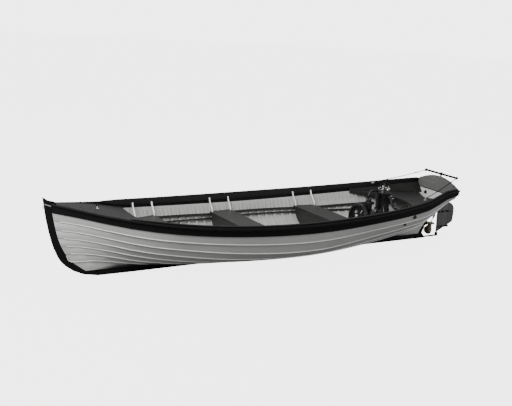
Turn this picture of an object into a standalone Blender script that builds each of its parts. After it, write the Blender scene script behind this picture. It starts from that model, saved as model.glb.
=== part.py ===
"""An open clinker-built motor launch: lapped planks on bent ribs, a small inboard engine,
a two-bladed propeller in its aperture and a rudder steered by a yoke.

Metres, +X toward the bow, +Y to port, +Z up. Heights in the tables are above the underside
of the keel. An empty, the keel datum, lowers everything so that the origin is amidships at
the waterline. Girth is counted in strakes from the keel (0) to the sheer (STRAKES)."""

import math

import bmesh
import bpy
from mathutils import Matrix, Vector

# Hull, driving dimensions
TRANSOM_X = -2.44            # aft face of the transom
STEM_RABBET_X = 2.372        # where the sheer meets the stem
WATERLINE = 0.215            # height of the waterline above the keel's underside
RABBET_HEIGHT = 0.066        # where the garboards land on the keel
KEEL_HALF = 0.022            # half the keel's thickness
PLANK = 0.009                # plank thickness
LAP = 0.16                   # lap as a share of a strake's breadth
LAP_EASE = 0.02              # how far below the next plank's edge the rebate begins, as a share
LAP_ROOM = 0.0009            # more room between the planks where they twist toward the ends
LAP_DIP = 0.0005             # how much deeper the rebate is at its foot
TUCK_ROOM = 0.0010           # more of it where the planks turn hard into the tuck
LAP_AT_ENDS = 0.45           # share of the plank's thickness left to the laps at the ends
STRAKES = 8
STRAKE_NAMES = ("garboard", "strake_2", "strake_3", "strake_4", "strake_5", "strake_6", "strake_7")
STATION_GAPS = 23            # planking stations, a rib on each and one between
SEAT_GAP = 0.0004            # between pieces that touch
RIB_WIDTH = 0.022
RIB_THICK = 0.011
TWIST_ROOM = 0.0018          # the garboards twist, so the ribs bear a little above them
FIRST_RIB = 5
LAST_RIB = 39

# Table of offsets. v runs from the transom (0) to the stem (1); the section at each v is a
# Bezier curve from the rabbet to the sheer, its two handles as shares of breadth and height.
# v, half-breadth, sheer height, low handle out, low handle up, high handle out, high handle up
OFFSETS = (
    (0.00, 0.341, 0.657, 0.01, 0.37, 1.11, 0.42),
    (0.15, 0.552, 0.587, 0.35, 0.20, 0.92, 0.45),
    (0.30, 0.661, 0.546, 0.70, 0.07, 0.79, 0.47),
    (0.45, 0.706, 0.529, 0.96, 0.01, 0.79, 0.47),
    (0.60, 0.682, 0.532, 0.94, 0.04, 0.75, 0.46),
    (0.75, 0.561, 0.564, 0.69, 0.09, 0.73, 0.39),
    (0.88, 0.335, 0.629, 0.29, 0.17, 0.75, 0.31),
    (1.00, 0.022, 0.732, 0.04, 0.31, 0.20, 0.51),
)
# Relative breadths of the strakes, garboard first
STRAKE_BREADTHS = (1.24, 0.95, 0.92, 0.94, 0.94, 1.02, 0.89, 1.00)
# Where each strake's edge ends forward, on the stem's rabbet: x
STEM_ENDS = (2.030, 2.174, 2.231, 2.273, 2.303, 2.325, 2.345, 2.359, 2.372)
# Where each strake's edge ends aft, up the sternpost and round the transom: x, y, height
STERN_ENDS = (
    (-2.170, 0.022, 0.066),
    (-2.235, 0.022, 0.165),
    (-2.290, 0.024, 0.262),
    (-2.440, 0.060, 0.398),
    (-2.440, 0.140, 0.455),
    (-2.440, 0.222, 0.512),
    (-2.440, 0.293, 0.558),
    (-2.440, 0.333, 0.600),
    (-2.440, 0.341, 0.657),
)
TUCK = 0.14                  # v up to which the sections run into the stern ends
ENTRANCE = 0.90              # v from which the planks turn flat onto the stem

# Backbone
KEEL_FORE_X = 1.90
KEEL_FLAT_FORE_X = 1.60
KEEL_FORE_RISE = 0.003
KEEL_HEEL_X = -2.246
STEM_SIDED = 0.033
# depth of the stem outside its rabbet, rounding the forefoot: girth, depth
STEM_MOULDED = (
    (0.0, 0.038), (0.5, 0.060), (1.0, 0.063), (1.5, 0.070), (2.0, 0.067), (3.0, 0.061),
    (4.0, 0.057), (8.0, 0.057),
)
STEM_RING_GIRTHS = (0.0, 0.5, 1.0, 1.5, 2.0, 3.0, 4.0, 5.0, 6.0, 7.0, 8.0)
STEM_HEAD_TIP = (2.441, 0.791)
STEM_HEAD_SLOPE = 0.68       # fall of the stem head toward the deck
STEM_FACE_HALF = 0.008
APRON = 0.045
POST_FOOT_AFT = (-2.246, 0.066)
POST_HEAD_AFT = (-2.353, 0.312)
POST_TOP = (-2.338, 0.302)
POST_INSIDE = 0.070
POST_SIDED = 0.032
POST_FACE_HALF = 0.020
HORN_THICK = 0.012
HORN_SHARES = (0.34, 0.67, 1.0)  # places of its sections between sternpost and transom
SHOE_THICK = 0.014
SHOE_HALF = 0.013
TRANSOM_THICK = 0.022
TRANSOM_CROWN = 0.100
CROWN_STEPS = 7

# Shaft line through the propeller hub and the flywheel
PROP_X = -2.393
PROP_HEIGHT = 0.169
FLYWHEEL_X = -1.229
FLYWHEEL_HEIGHT = 0.344
SHAFT_RADIUS = 0.011
PROP_RADIUS = 0.143
HUB_RADIUS = 0.020
HUB_LENGTH = 0.062
BLADES = 2
BLADE_PITCH = 0.36
FLYWHEEL_RADIUS = 0.146
FLYWHEEL_RIM = 0.030
FLYWHEEL_WIDTH = 0.048
FLYWHEEL_WINDOWS = 4
WINDOW_RADIUS = 0.030
FLYWHEEL_BOSS = 0.028
BLADE_SETTING = math.radians(77)
# blade chords: share of the way out from the hub, chord
BLADE_CHORDS = ((0.0, 0.036), (0.25, 0.066), (0.55, 0.100), (0.82, 0.094), (0.95, 0.062), (1.0, 0.024))
COUPLING_X = -1.87
COUPLING_RADIUS = 0.036
BED_DROP = 0.030             # how far the bearers' tops lie below the shaft line
CRANKCASE_AFT_X = -1.70
CRANKCASE_LENGTH = 0.400
CRANKCASE_RADIUS = 0.095
GEARBOX_LENGTH = 0.120       # the reduction case behind the crankcase
GEARBOX_RADIUS = 0.050
CYLINDER_X = -1.575
CYLINDER_RADIUS = 0.078
CYLINDER_TOP = 0.640
CYLINDER_PAD = 0.016
HEAD_CUP_TOP = 0.700         # top of the priming cup on the cylinder head
CARBURETTOR_AFT = 0.135      # how far behind the cylinder's middle the carburettor stands
CARBURETTOR_RADIUS = 0.032
CARBURETTOR_HEIGHT = 0.500
PUMP_RADIUS = 0.030
EXHAUST_RADIUS = 0.017
EXHAUST_HEIGHT = 0.560       # where the exhaust leaves the cylinder
EXHAUST_X = -1.572           # where the exhaust meets the planks, and at which girth
EXHAUST_GIRTH = 6.64
EXHAUST_CANT = 0.45          # how much the planks lean there
OUTLET_THICK = 0.008
OUTLET_GAP = 0.0005
# fittings outside the planks: name, x, girth, radius of the flange
OUTLETS = (
    ("exhaust_outlet", EXHAUST_X, EXHAUST_GIRTH, 0.023),
    ("water_outlet", -1.466, 5.70, 0.017),
)
BEARING_GAP = 0.0006
BORE_RADIUS = SHAFT_RADIUS + 0.004

# Rudder, its stock raked from the heel to the head
HEEL = (-2.508, 0.026)
HEAD = (-2.466, 0.800)
STOCK_RADIUS = 0.010
RUDDER_THICK = 0.017
YOKE_SPAN = 0.255
YOKE_HEIGHT = 0.790
# Height of each gudgeon on the transom
GUDGEONS = (("gudgeon_lower", 0.478), ("gudgeon_upper", YOKE_HEIGHT - 0.090))
YOKE_BAR = 0.013
# rudder blade: x, height, from the foot of its leading edge round by the after side
RUDDER_OUTLINE = (
    (-2.505, 0.052), (-2.752, 0.166), (-2.760, 0.270), (-2.757, 0.330), (-2.735, 0.378),
    (-2.690, 0.408), (-2.600, 0.435), (-2.500, 0.445), (-2.487, 0.380),
)

# Inside
THWART_THICK = 0.018
THWART_WIDTH = 0.270
# thwarts: name, centre x, top height, panel below its front edge
THWARTS = (
    ("thwart_1", 1.2375, 0.410, False),
    ("thwart_2", 0.245, 0.368, True),
    ("thwart_3", -0.863, 0.366, True),
)
THWART_EASE = 0.012          # how far the risers run level past a thwart
RISER_DEPTH = 0.020
RISER_THICK = 0.018
RISER_AFT = (-1.80, 0.378)   # x, top height of the risers' ends
RISER_FORE = (1.46, 0.404)
STRINGER_DEPTH = 0.014
STRINGER_THICK = 0.012
# top of the stringer under the risers: x, height
STRINGER_LINE = ((-1.60, 0.314), (-0.76, 0.305), (0.42, 0.305), (0.93, 0.329), (1.40, 0.352))
KNEE_RADIUS = 0.008
KNEE_EDGE = 0.013            # from a thwart's edge to the middle of its knee rods
KNEE_FOOT = 0.040            # from the ribs to the knees' feet
PANEL_THICK = 0.014
FLOOR_TOP = 0.132
FLOOR_THICK = 0.012
FLOOR_AFT_X = -1.02
FLOOR_FORE_X = 1.42
BOARD_WIDTH = 0.098
BOARD_GAP = 0.006
SEAT_TOP = 0.505
SEAT_THICK = 0.030
SEAT_FORE_X = -1.855         # the seat's fore edge on the centreline
SEAT_CURVE = 1.15            # how fast that edge sweeps forward toward the sides
SEAT_NOTCH_X = -2.225        # where the seat's after edge comes to a point on the centreline
SEAT_NOTCH_SWEEP = 0.62      # how fast that edge runs aft toward the sides
SEAT_BACK_THICK = 0.010
DECK_AFT_X = 1.50
DECK_FORE_V = 0.990
DECK_SINK = 0.62             # how far below the sheer the deck's after end lies, in strakes
DECK_HOLLOW = 0.06
DECK_CAMBER = 0.018
DECK_THICK = 0.012
INWALE = 0.026
INWALE_GIRTH = 0.5           # depth of the inwale as a share of the sheer strake
GUNWALE_END = 19             # station from which the inwale tapers away over the foredeck
GUNWALE_TAPER = 0.3          # share of its size that is left at the next station
CAP_THICK = 0.012
RUB_WIDTH = 0.020
RUB_GIRTH = STRAKES - 0.33   # where the rub rail's lower edge lies on the sheer strake
BEARER_HALF_GAP = 0.125
BEARER_THICK = 0.040
BEARER_FORE_X = -1.30
CROSS_FLOOR_RISE = 0.032     # underside of the bed's cross floors above the rabbet
BEARER_AFT_X = -1.72

# Materials: colour, roughness, metallic
PAINTS = {
    "hull_light_paint": ((0.62, 0.62, 0.60), 0.45, 0.0),
    "sheer_dark_paint": ((0.022, 0.022, 0.024), 0.35, 0.0),
    "inside_light_paint": ((0.46, 0.46, 0.44), 0.55, 0.0),
    "seat_wood": ((0.085, 0.080, 0.075), 0.50, 0.0),
    "deck_wood": ((0.14, 0.135, 0.13), 0.50, 0.0),
    "engine_black": ((0.025, 0.025, 0.026), 0.40, 0.6),
    "bronze": ((0.30, 0.26, 0.20), 0.35, 1.0),
    "galvanised": ((0.60, 0.60, 0.60), 0.45, 0.8),
    "dark_iron": ((0.035, 0.035, 0.037), 0.45, 0.8),
    "rudder_paint": ((0.17, 0.17, 0.17), 0.45, 0.0),
}

for old in list(bpy.data.objects):
    bpy.data.objects.remove(old, do_unlink=True)

DATUM = bpy.data.objects.new("keel_datum", None)
DATUM.location = (0.0, 0.0, -WATERLINE)
bpy.context.scene.collection.objects.link(DATUM)


def material(name):
    """The named paint as a Principled material."""
    found = bpy.data.materials.get(name)
    if found:
        return found
    colour, roughness, metallic = PAINTS[name]
    made = bpy.data.materials.new(name)
    made.use_nodes = True
    shader = made.node_tree.nodes["Principled BSDF"]
    shader.inputs["Base Color"].default_value = (*colour, 1.0)
    shader.inputs["Roughness"].default_value = roughness
    shader.inputs["Metallic"].default_value = metallic
    made.diffuse_color = (*colour, 1.0)
    return made


def add_object(name, bm, paint, smooth=None, parent=DATUM):
    """A bmesh as a named object on the keel datum, faces turned outward."""
    bmesh.ops.recalc_face_normals(bm, faces=bm.faces)
    mesh = bpy.data.meshes.new(name)
    bm.to_mesh(mesh)
    bm.free()
    if smooth is not None:
        mesh.shade_smooth()
        mesh.set_sharp_from_angle(angle=math.radians(smooth))
    obj = bpy.data.objects.new(name, mesh)
    obj.parent = parent
    obj.data.materials.append(material(paint))
    bpy.context.scene.collection.objects.link(obj)
    return obj


def add_rings(bm, rings):
    """Skin through rings of equal length, capped at both ends."""
    rows = [[bm.verts.new(p) for p in ring] for ring in rings]
    count = len(rows[0])
    for low, high in zip(rows, rows[1:]):
        for k in range(count):
            bm.faces.new((low[k], low[(k + 1) % count], high[(k + 1) % count], high[k]))
    bm.faces.new(rows[0])
    bm.faces.new(rows[-1])
    return rows


def add_shell(bm, outer, inner, turns=None):
    """A closed solid between two grids of points, rows by columns, of equal size. Twisted
    cells are split along the diagonal that leaves the inside hollow, or as turns says."""
    out = [[bm.verts.new(p) for p in row] for row in outer]
    ins = [[bm.verts.new(p) for p in row] for row in inner]
    rows = len(out)
    cols = len(out[0])
    for i in range(rows - 1):
        for k in range(cols - 1):
            cell = [(i, k), (i, k + 1), (i + 1, k + 1), (i + 1, k)]
            face = sum((out[a][b].co for a, b in cell), Vector()) / 4
            first = ((ins[i][k].co + ins[i + 1][k + 1].co) / 2 - face).length
            second = ((ins[i][k + 1].co + ins[i + 1][k].co) / 2 - face).length
            turn = turns[i][k] if turns else int(first >= second)
            corners = cell[turn:] + cell[:turn]
            for pick in ((0, 1, 2), (0, 2, 3)):
                bm.faces.new([out[corners[n][0]][corners[n][1]] for n in pick])
                bm.faces.new([ins[corners[n][0]][corners[n][1]] for n in reversed(pick)])
        for k in (0, cols - 1):
            bm.faces.new((out[i][k], out[i + 1][k], ins[i + 1][k], ins[i][k]))
    for i in (0, rows - 1):
        for k in range(cols - 1):
            bm.faces.new((out[i][k], out[i][k + 1], ins[i][k + 1], ins[i][k]))


def add_prism(bm, outline, axis, low, high):
    """An outline of (a, b) pairs drawn out along one axis, 'x', 'y' or 'z'."""
    def place(a, b, c):
        return {"x": (c, a, b), "y": (a, c, b), "z": (a, b, c)}[axis]
    add_rings(bm, [[place(a, b, low) for a, b in outline], [place(a, b, high) for a, b in outline]])


def add_box(bm, low, high):
    """A box between two corners."""
    outline = ((low[0], low[1]), (high[0], low[1]), (high[0], high[1]), (low[0], high[1]))
    add_prism(bm, outline, "z", low[2], high[2])


def add_turned(bm, profile, start, direction, segments=24):
    """A profile of (distance along, radius) turned about a line; radius 0 closes an end."""
    axis = Vector(direction).normalized()
    turn = axis.to_track_quat("Z", "Y").to_matrix()
    rings = []
    for along, radius in profile:
        ring = []
        for k in range(segments):
            angle = math.tau * k / segments
            local = Vector((radius * math.cos(angle), radius * math.sin(angle), along))
            ring.append(Vector(start) + turn @ local)
        rings.append(ring)
    add_rings(bm, rings)


def add_rod(bm, points, radius, segments=6):
    """A round rod through points, mitred at each bend."""
    path = [Vector(p) for p in points]
    rings = []
    side = None
    for i, here in enumerate(path):
        back = (here - path[i - 1]).normalized() if i else None
        ahead = (path[i + 1] - here).normalized() if i < len(path) - 1 else None
        run = ((back or ahead) + (ahead or back)).normalized()
        if side is None:
            side = run.orthogonal().normalized()
        side = (side - run * side.dot(run)).normalized()
        other = run.cross(side)
        stretch = 1.0 / max(0.5, run.dot(ahead or back))
        ring = []
        for k in range(segments):
            angle = math.tau * k / segments
            ring.append(here + (side * math.cos(angle) + other * math.sin(angle)) * radius * stretch)
        rings.append(ring)
    add_rings(bm, rings)


def boolean(obj, others, operation="UNION"):
    """Join or cut with other objects, which are then removed."""
    for other in others:
        step = obj.modifiers.new(operation.lower(), "BOOLEAN")
        step.operation = operation
        step.solver = "EXACT"
        step.object = other
        bpy.context.view_layer.update()
        graph = bpy.context.evaluated_depsgraph_get()
        made = bpy.data.meshes.new_from_object(obj.evaluated_get(graph))
        obj.modifiers.clear()
        obj.data = made
        bpy.data.objects.remove(other, do_unlink=True)
    return obj


def between(a, b, share):
    """A value or point part of the way from a to b."""
    if isinstance(a, (int, float)):
        return a + (b - a) * share
    return Vector(a) + (Vector(b) - Vector(a)) * share


def read_table(table, at):
    """A row of a table at a place between its rows, by cubic Hermite curves."""
    keys = [row[0] for row in table]
    at = min(max(at, keys[0]), keys[-1])
    i = max(k for k in range(len(keys) - 1) if keys[k] <= at)
    span = keys[i + 1] - keys[i]
    t = (at - keys[i]) / span
    values = []
    for column in range(1, len(table[0])):
        def slope(k):
            low = max(k - 1, 0)
            high = min(k + 1, len(keys) - 1)
            return (table[high][column] - table[low][column]) / (keys[high] - keys[low])
        a = table[i][column]
        b = table[i + 1][column]
        ma = slope(i) * span
        mb = slope(i + 1) * span
        values.append(a * (2 * t ** 3 - 3 * t ** 2 + 1) + ma * (t ** 3 - 2 * t ** 2 + t)
                      + b * (3 * t ** 2 - 2 * t ** 3) + mb * (t ** 3 - t ** 2))
    return values


def strake_shares():
    """Girth share of each strake edge, from the keel to the sheer."""
    total = sum(STRAKE_BREADTHS)
    edges = [0.0]
    for breadth in STRAKE_BREADTHS:
        edges.append(edges[-1] + breadth / total)
    return edges


def drawn_section(v, samples=48):
    """The strake edges of the section at v, as (y, height) pairs."""
    breadth, sheer, low_out, low_up, high_out, high_up = read_table(OFFSETS, v)
    wide = breadth - KEEL_HALF
    tall = sheer - RABBET_HEIGHT
    corners = (
        (KEEL_HALF, RABBET_HEIGHT),
        (KEEL_HALF + wide * low_out, RABBET_HEIGHT + tall * low_up),
        (KEEL_HALF + wide * high_out, RABBET_HEIGHT + tall * high_up),
        (breadth, sheer),
    )
    curve = []
    for i in range(samples + 1):
        t = i / samples
        weights = ((1 - t) ** 3, 3 * t * (1 - t) ** 2, 3 * t ** 2 * (1 - t), t ** 3)
        curve.append(tuple(sum(w * c[n] for w, c in zip(weights, corners)) for n in (0, 1)))
    run = [0.0]
    for a, b in zip(curve, curve[1:]):
        run.append(run[-1] + math.dist(a, b))
    edges = []
    for share in strake_shares():
        want = share * run[-1]
        i = max(k for k in range(samples) if run[k] <= want + 1e-12)
        t = (want - run[i]) / (run[i + 1] - run[i])
        edges.append((between(curve[i][0], curve[i + 1][0], t), between(curve[i][1], curve[i + 1][1], t)))
    return edges


def edge_points(v):
    """Strake edges at v in space, run into the sternpost and the transom at the tuck."""
    pull = max(0.0, 1.0 - v / TUCK) ** 2
    points = []
    for j, (y, height) in enumerate(drawn_section(v)):
        x = between(STERN_ENDS[j][0], STEM_ENDS[j], v)
        end = STERN_ENDS[j]
        points.append(Vector((x, between(y, end[1], pull), between(height, end[2], pull))))
    return points


STATIONS = [edge_points(k / STATION_GAPS) for k in range(STATION_GAPS + 1)]


def offset_directions():
    """Outward directions at each station and strake edge, flat on the stem and sternpost."""
    rows = []
    for k, points in enumerate(STATIONS):
        ahead = STATIONS[min(k + 1, STATION_GAPS)]
        back = STATIONS[max(k - 1, 0)]
        row = []
        v = k / STATION_GAPS
        for j, point in enumerate(points):
            up = points[min(j + 1, STRAKES)] - points[max(j - 1, 0)]
            along = ahead[j] - back[j]
            normal = up.cross(along)
            if normal.y < 0:
                normal = -normal
            normal.x = 0.0
            normal.normalize()
            flat = max(0.0, (v - ENTRANCE) / (1.0 - ENTRANCE))
            if j <= 2:
                flat = max(flat, 1.0 - v / (0.5 * TUCK))
            row.append(between(normal, Vector((0.0, 1.0, 0.0)), min(1.0, flat)).normalized())
        rows.append(row)
    return rows


DIRECTIONS = offset_directions()


def lap_depth(v):
    """How much of its thickness a plank stands proud of the one below, fading at the ends."""
    fade = min(1.0, v / 0.10, (1.0 - v) / 0.12)
    return PLANK * between(LAP_AT_ENDS, 1.0, fade)


def hull_point(v, girth, offset):
    """A point on the moulded surface, flat between stations and strake edges, moved outward."""
    at = min(max(v, 0.0), 1.0) * STATION_GAPS
    k = min(int(at + 1e-9), STATION_GAPS - 1)
    j = min(int(girth + 1e-9), STRAKES - 1)
    ends = []
    for row in (k, k + 1):
        point = between(STATIONS[row][j], STATIONS[row][j + 1], girth - j)
        way = between(DIRECTIONS[row][j], DIRECTIONS[row][j + 1], girth - j)
        ends.append(point + way.normalized() * offset)
    return between(ends[0], ends[1], at - k)


def add_pivot(name, location):
    """An empty on a joint's axis, for the pieces that turn about it."""
    pivot = bpy.data.objects.new(name, None)
    pivot.parent = DATUM
    pivot.location = location
    bpy.context.scene.collection.objects.link(pivot)
    return pivot


def hang(obj, pivot):
    """Hand a piece to the empty on its joint's axis, left where it is."""
    obj.data.transform(Matrix.Translation(-pivot.location))
    obj.parent = pivot
    return obj


def mirrored(points, side):
    """Points with y on the wanted side, +1 for port."""
    return [Vector((p[0], p[1] * side, p[2])) for p in points]


def v_at(x, girth=STRAKES):
    """v of the station line through x at this girth."""
    stern = between(STERN_ENDS[int(girth)][0], STERN_ENDS[min(int(girth) + 1, STRAKES)][0], girth % 1)
    stem = between(STEM_ENDS[int(girth)], STEM_ENDS[min(int(girth) + 1, STRAKES)], girth % 1)
    return (x - stern) / (stem - stern)


def rib_line(v, offset=0.0):
    """Lap corners inside the hull at v, from the lowest up, where the ribs bear."""
    girths = [j + LAP for j in range(1, STRAKES - 1)] + [STRAKES - 1]
    return [hull_point(v, girth, offset) for girth in girths]


def at_height(line, height):
    """The point of a rising line at a height, run on below to the keel."""
    foot = Vector((line[0].x, KEEL_HALF * 0.6, RABBET_HEIGHT + RIB_THICK))
    for low, high in zip([foot] + line, line):
        if height <= high.z or high is line[-1]:
            share = (height - low.z) / (high.z - low.z)
            return between(low, high, min(1.0, max(0.0, share)))


def inner_point(x, height, offset=0.0):
    """The point inside the lap corners at a place along the hull and a height."""
    v = v_at(x)
    for _ in range(4):
        spot = at_height(rib_line(v, offset), height)
        v += (x - spot.x) / (STEM_RABBET_X - TRANSOM_X)
    return spot


def inner_half(x, height, offset=0.0):
    """Half-breadth inside the lap corners at a place along the hull and a height."""
    return inner_point(x, height, offset).y


def inside_ribs(x, height):
    """Half-breadth inside the ribs at a place along the hull and a height."""
    return inner_half(x, height, -(RIB_THICK + 2.5 * SEAT_GAP))


def sheer_face(girth):
    """Outward offset of the sheer strake's outer face above its lap."""
    low = STRAKES - 1 + 1.5 * LAP
    return between(PLANK * 1.85 + SEAT_GAP, PLANK, (girth - low) / (STRAKES - low))


def sheer_inside(girth):
    """Outward offset of the sheer strake's inner face above its lap."""
    low = STRAKES - 1 + 1.5 * LAP
    at_rub = sheer_face(RUB_GIRTH) - PLANK
    if girth < RUB_GIRTH:
        return between(PLANK, at_rub, (girth - low) / (RUB_GIRTH - low))
    return between(at_rub, 0.0, (girth - RUB_GIRTH) / (STRAKES - RUB_GIRTH))


def build_strake(name, side, low):
    """One light plank: its lower edge laps the plank below, its upper edge is rebated thinner
    toward the ends so that the next one lies down on it."""
    garboard = low == 0
    top_strake = low == STRAKES - 2
    outer = []
    inner = []
    for k in range(STATION_GAPS + 1):
        v = k / STATION_GAPS
        lap = lap_depth(v)
        stand = 0.0 if garboard else lap
        room = LAP_ROOM * (PLANK - lap) / PLANK + TUCK_ROOM * max(0.0, 1 - v / (1.6 * TUCK))
        rebate = PLANK if top_strake else lap - SEAT_GAP - room
        out_row = [
            hull_point(v, low, PLANK + stand),
            hull_point(v, low + LAP, PLANK + stand * (1 - LAP)),
            hull_point(v, low + 1 - 2 * LAP_EASE, PLANK),
            hull_point(v, low + 1 - LAP_EASE, rebate - LAP_DIP),
            hull_point(v, low + 1 + LAP, rebate),
        ]
        foot = hull_point(v, low, stand)
        bend = hull_point(v, low + LAP, stand)
        top = hull_point(v, low + 1 + LAP, 0.0)
        if garboard:
            foot.y += SEAT_GAP
            out_row[0].y += SEAT_GAP
            bend = between(foot, top, LAP / (1 + LAP))
        rest = hull_point(v, low + 1, 0.0) if top_strake else between(bend, top, 1 - LAP)
        if 2 * k < FIRST_RIB and not garboard:
            hollow = hull_point(v, low + 1, stand * LAP)
            rest = min(rest, hollow, key=lambda spot: spot.y)
        in_row = [foot, bend, between(bend, rest, 1 - LAP_EASE / (1 - LAP)), rest, top]
        outer.append(mirrored(out_row, side))
        inner.append(mirrored(in_row, side))
    columns = (low, low + LAP, low + 1 - 2 * LAP_EASE, low + 1, low + 1 + LAP)
    turns = [[cell_turn(k, a, b) for a, b in zip(columns, columns[1:])] for k in range(STATION_GAPS)]
    bm = bmesh.new()
    add_shell(bm, outer, inner, turns)
    return add_object(name, bm, "hull_light_paint")


def cell_turn(k, low, high):
    """Which diagonal of the moulded surface lies farther out between two stations and girths."""
    here = k / STATION_GAPS
    ahead = (k + 1) / STATION_GAPS
    first = hull_point(here, low, 0.0) + hull_point(ahead, high, 0.0)
    second = hull_point(here, high, 0.0) + hull_point(ahead, low, 0.0)
    return 0 if first.y > second.y else 1


def build_sheer_strake(name, side):
    """The dark top strake, lapped over the light planking."""
    outer = []
    inner = []
    for k in range(STATION_GAPS + 1):
        v = k / STATION_GAPS
        low = STRAKES - 1
        lap = PLANK + SEAT_GAP
        heights = (low, low + LAP, low + 1.5 * LAP, RUB_GIRTH, STRAKES)
        outs = (lap + PLANK, lap + PLANK, sheer_face(heights[2]), sheer_face(RUB_GIRTH), PLANK)
        ins = (lap, lap, PLANK, sheer_face(RUB_GIRTH) - PLANK, 0.0)
        outer.append(mirrored([hull_point(v, g, o) for g, o in zip(heights, outs)], side))
        inner.append(mirrored([hull_point(v, g, o) for g, o in zip(heights, ins)], side))
    bm = bmesh.new()
    add_shell(bm, outer, inner)
    return add_object(name, bm, "sheer_dark_paint")


def post_ring(inner, rabbet, outer, sided, face):
    """Section of a rabbeted post: narrow between the planks, shouldered, tapered outside."""
    hold = KEEL_HALF - SEAT_GAP
    spots = ((inner, hold), (rabbet, hold), (rabbet, sided), (outer, face))
    port = [Vector((p[0], half, p[1])) for p, half in spots]
    return port + mirrored(reversed(port), -1)


def build_stem():
    """The stem, sprung from the keel up to its head, with the planks' rabbet."""
    ends = STATIONS[STATION_GAPS]
    rings = []
    foot = (KEEL_FORE_X, RABBET_HEIGHT)
    rings.append(post_ring((foot[0], foot[1] + 0.012), foot, (foot[0], 0.003), KEEL_HALF, KEEL_HALF))
    for girth in STEM_RING_GIRTHS:
        j = min(int(girth), STRAKES - 1)
        point = between(ends[j], ends[j + 1], girth - j)
        back = ends[math.ceil(girth) - 1] if girth else Vector((KEEL_FORE_X, 0.0, RABBET_HEIGHT))
        ahead = ends[min(math.floor(girth) + 1, STRAKES)]
        run = Vector((ahead.x - back.x, 0.0, ahead.z - back.z)).normalized()
        out = Vector((run.z, 0.0, -run.x))
        rabbet = Vector((point.x, 0.0, point.z)) + out * 2 * SEAT_GAP
        sided = between(KEEL_HALF, STEM_SIDED, min(1.0, girth / 2))
        outer = rabbet + out * read_table(STEM_MOULDED, girth)[0]
        inner = rabbet - out * APRON
        rings.append(post_ring((inner.x, inner.z), (rabbet.x, rabbet.z), (outer.x, outer.z),
                               sided, between(KEEL_HALF, STEM_FACE_HALF, min(1.0, girth / 2))))
    lean = STEM_HEAD_TIP[0] - rings[-1][3].x
    head = []
    for corner in rings[-1]:
        x = corner.x + lean
        head.append(Vector((x, corner.y, STEM_HEAD_TIP[1] - STEM_HEAD_SLOPE * (STEM_HEAD_TIP[0] - x))))
    rings.append(head)
    bm = bmesh.new()
    add_rings(bm, rings)
    return add_object("stem", bm, "sheer_dark_paint")


def build_keel():
    """The straight keel with its deadwood, its heel cut to the aperture."""
    top = RABBET_HEIGHT - SEAT_GAP
    outline = (
        (KEEL_FORE_X - SEAT_GAP, KEEL_FORE_RISE),
        (KEEL_FLAT_FORE_X, 0.0),
        (KEEL_HEEL_X - 0.045, 0.0),
        (KEEL_HEEL_X - 0.045, SHOE_THICK),
        (KEEL_HEEL_X, top),
        (KEEL_FORE_X - SEAT_GAP, top),
    )
    bm = bmesh.new()
    add_prism(bm, outline, "y", -KEEL_HALF, KEEL_HALF)
    return add_object("keel", bm, "sheer_dark_paint")


def shaft_height(x):
    """Height of the shaft line at x."""
    return between(PROP_HEIGHT, FLYWHEEL_HEIGHT, (x - PROP_X) / (FLYWHEEL_X - PROP_X))


SHAFT_WAY = Vector((FLYWHEEL_X - PROP_X, 0.0, FLYWHEEL_HEIGHT - PROP_HEIGHT)).normalized()


def shaft_point(x):
    """A point on the shaft line."""
    return Vector((x, 0.0, shaft_height(x)))


def build_sternpost():
    """The raked sternpost between the plank ends, bored for the shaft."""
    ends = STATIONS[0]
    # place up the post, how far the laps run past the plank ends there
    spots = [(ends[0].x, ends[0].z, 0.0), (ends[1].x, ends[1].z, 0.004), (ends[2].x, ends[2].z, 0.017),
             (POST_TOP[0], POST_TOP[1], 0.0)]
    rings = []
    for x, height, run_on in spots:
        share = (height - POST_FOOT_AFT[1]) / (POST_HEAD_AFT[1] - POST_FOOT_AFT[1])
        aft = between(POST_FOOT_AFT[0], POST_HEAD_AFT[0], share)
        rabbet = (x - 2 * SEAT_GAP - run_on, height)
        rings.append(post_ring((x + POST_INSIDE, height), rabbet, (aft, height),
                               POST_SIDED, POST_FACE_HALF))
    bm = bmesh.new()
    add_rings(bm, rings)
    post = add_object("sternpost", bm, "sheer_dark_paint")
    bore = bmesh.new()
    start = shaft_point(PROP_X)
    reach = 0.6
    add_turned(bore, ((0.0, BORE_RADIUS), (reach, BORE_RADIUS)), start, SHAFT_WAY, 12)
    return boolean(post, [add_object("bore", bore, "sheer_dark_paint")], "DIFFERENCE")


def build_horn_timber():
    """The short timber that closes the tuck between sternpost and transom."""
    near = STATIONS[0][2]
    far = STATIONS[0][3]
    rings = []
    for share in HORN_SHARES:
        here = between(near, far, share)
        half = here.y - SEAT_GAP * 2
        low = here.z - 0.004
        rings.append([Vector((here.x, half, low)), Vector((here.x, half, low + HORN_THICK)),
                      Vector((here.x, -half, low + HORN_THICK)), Vector((here.x, -half, low))])
    bm = bmesh.new()
    add_rings(bm, rings)
    return add_object("horn_timber", bm, "sheer_dark_paint")


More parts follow.
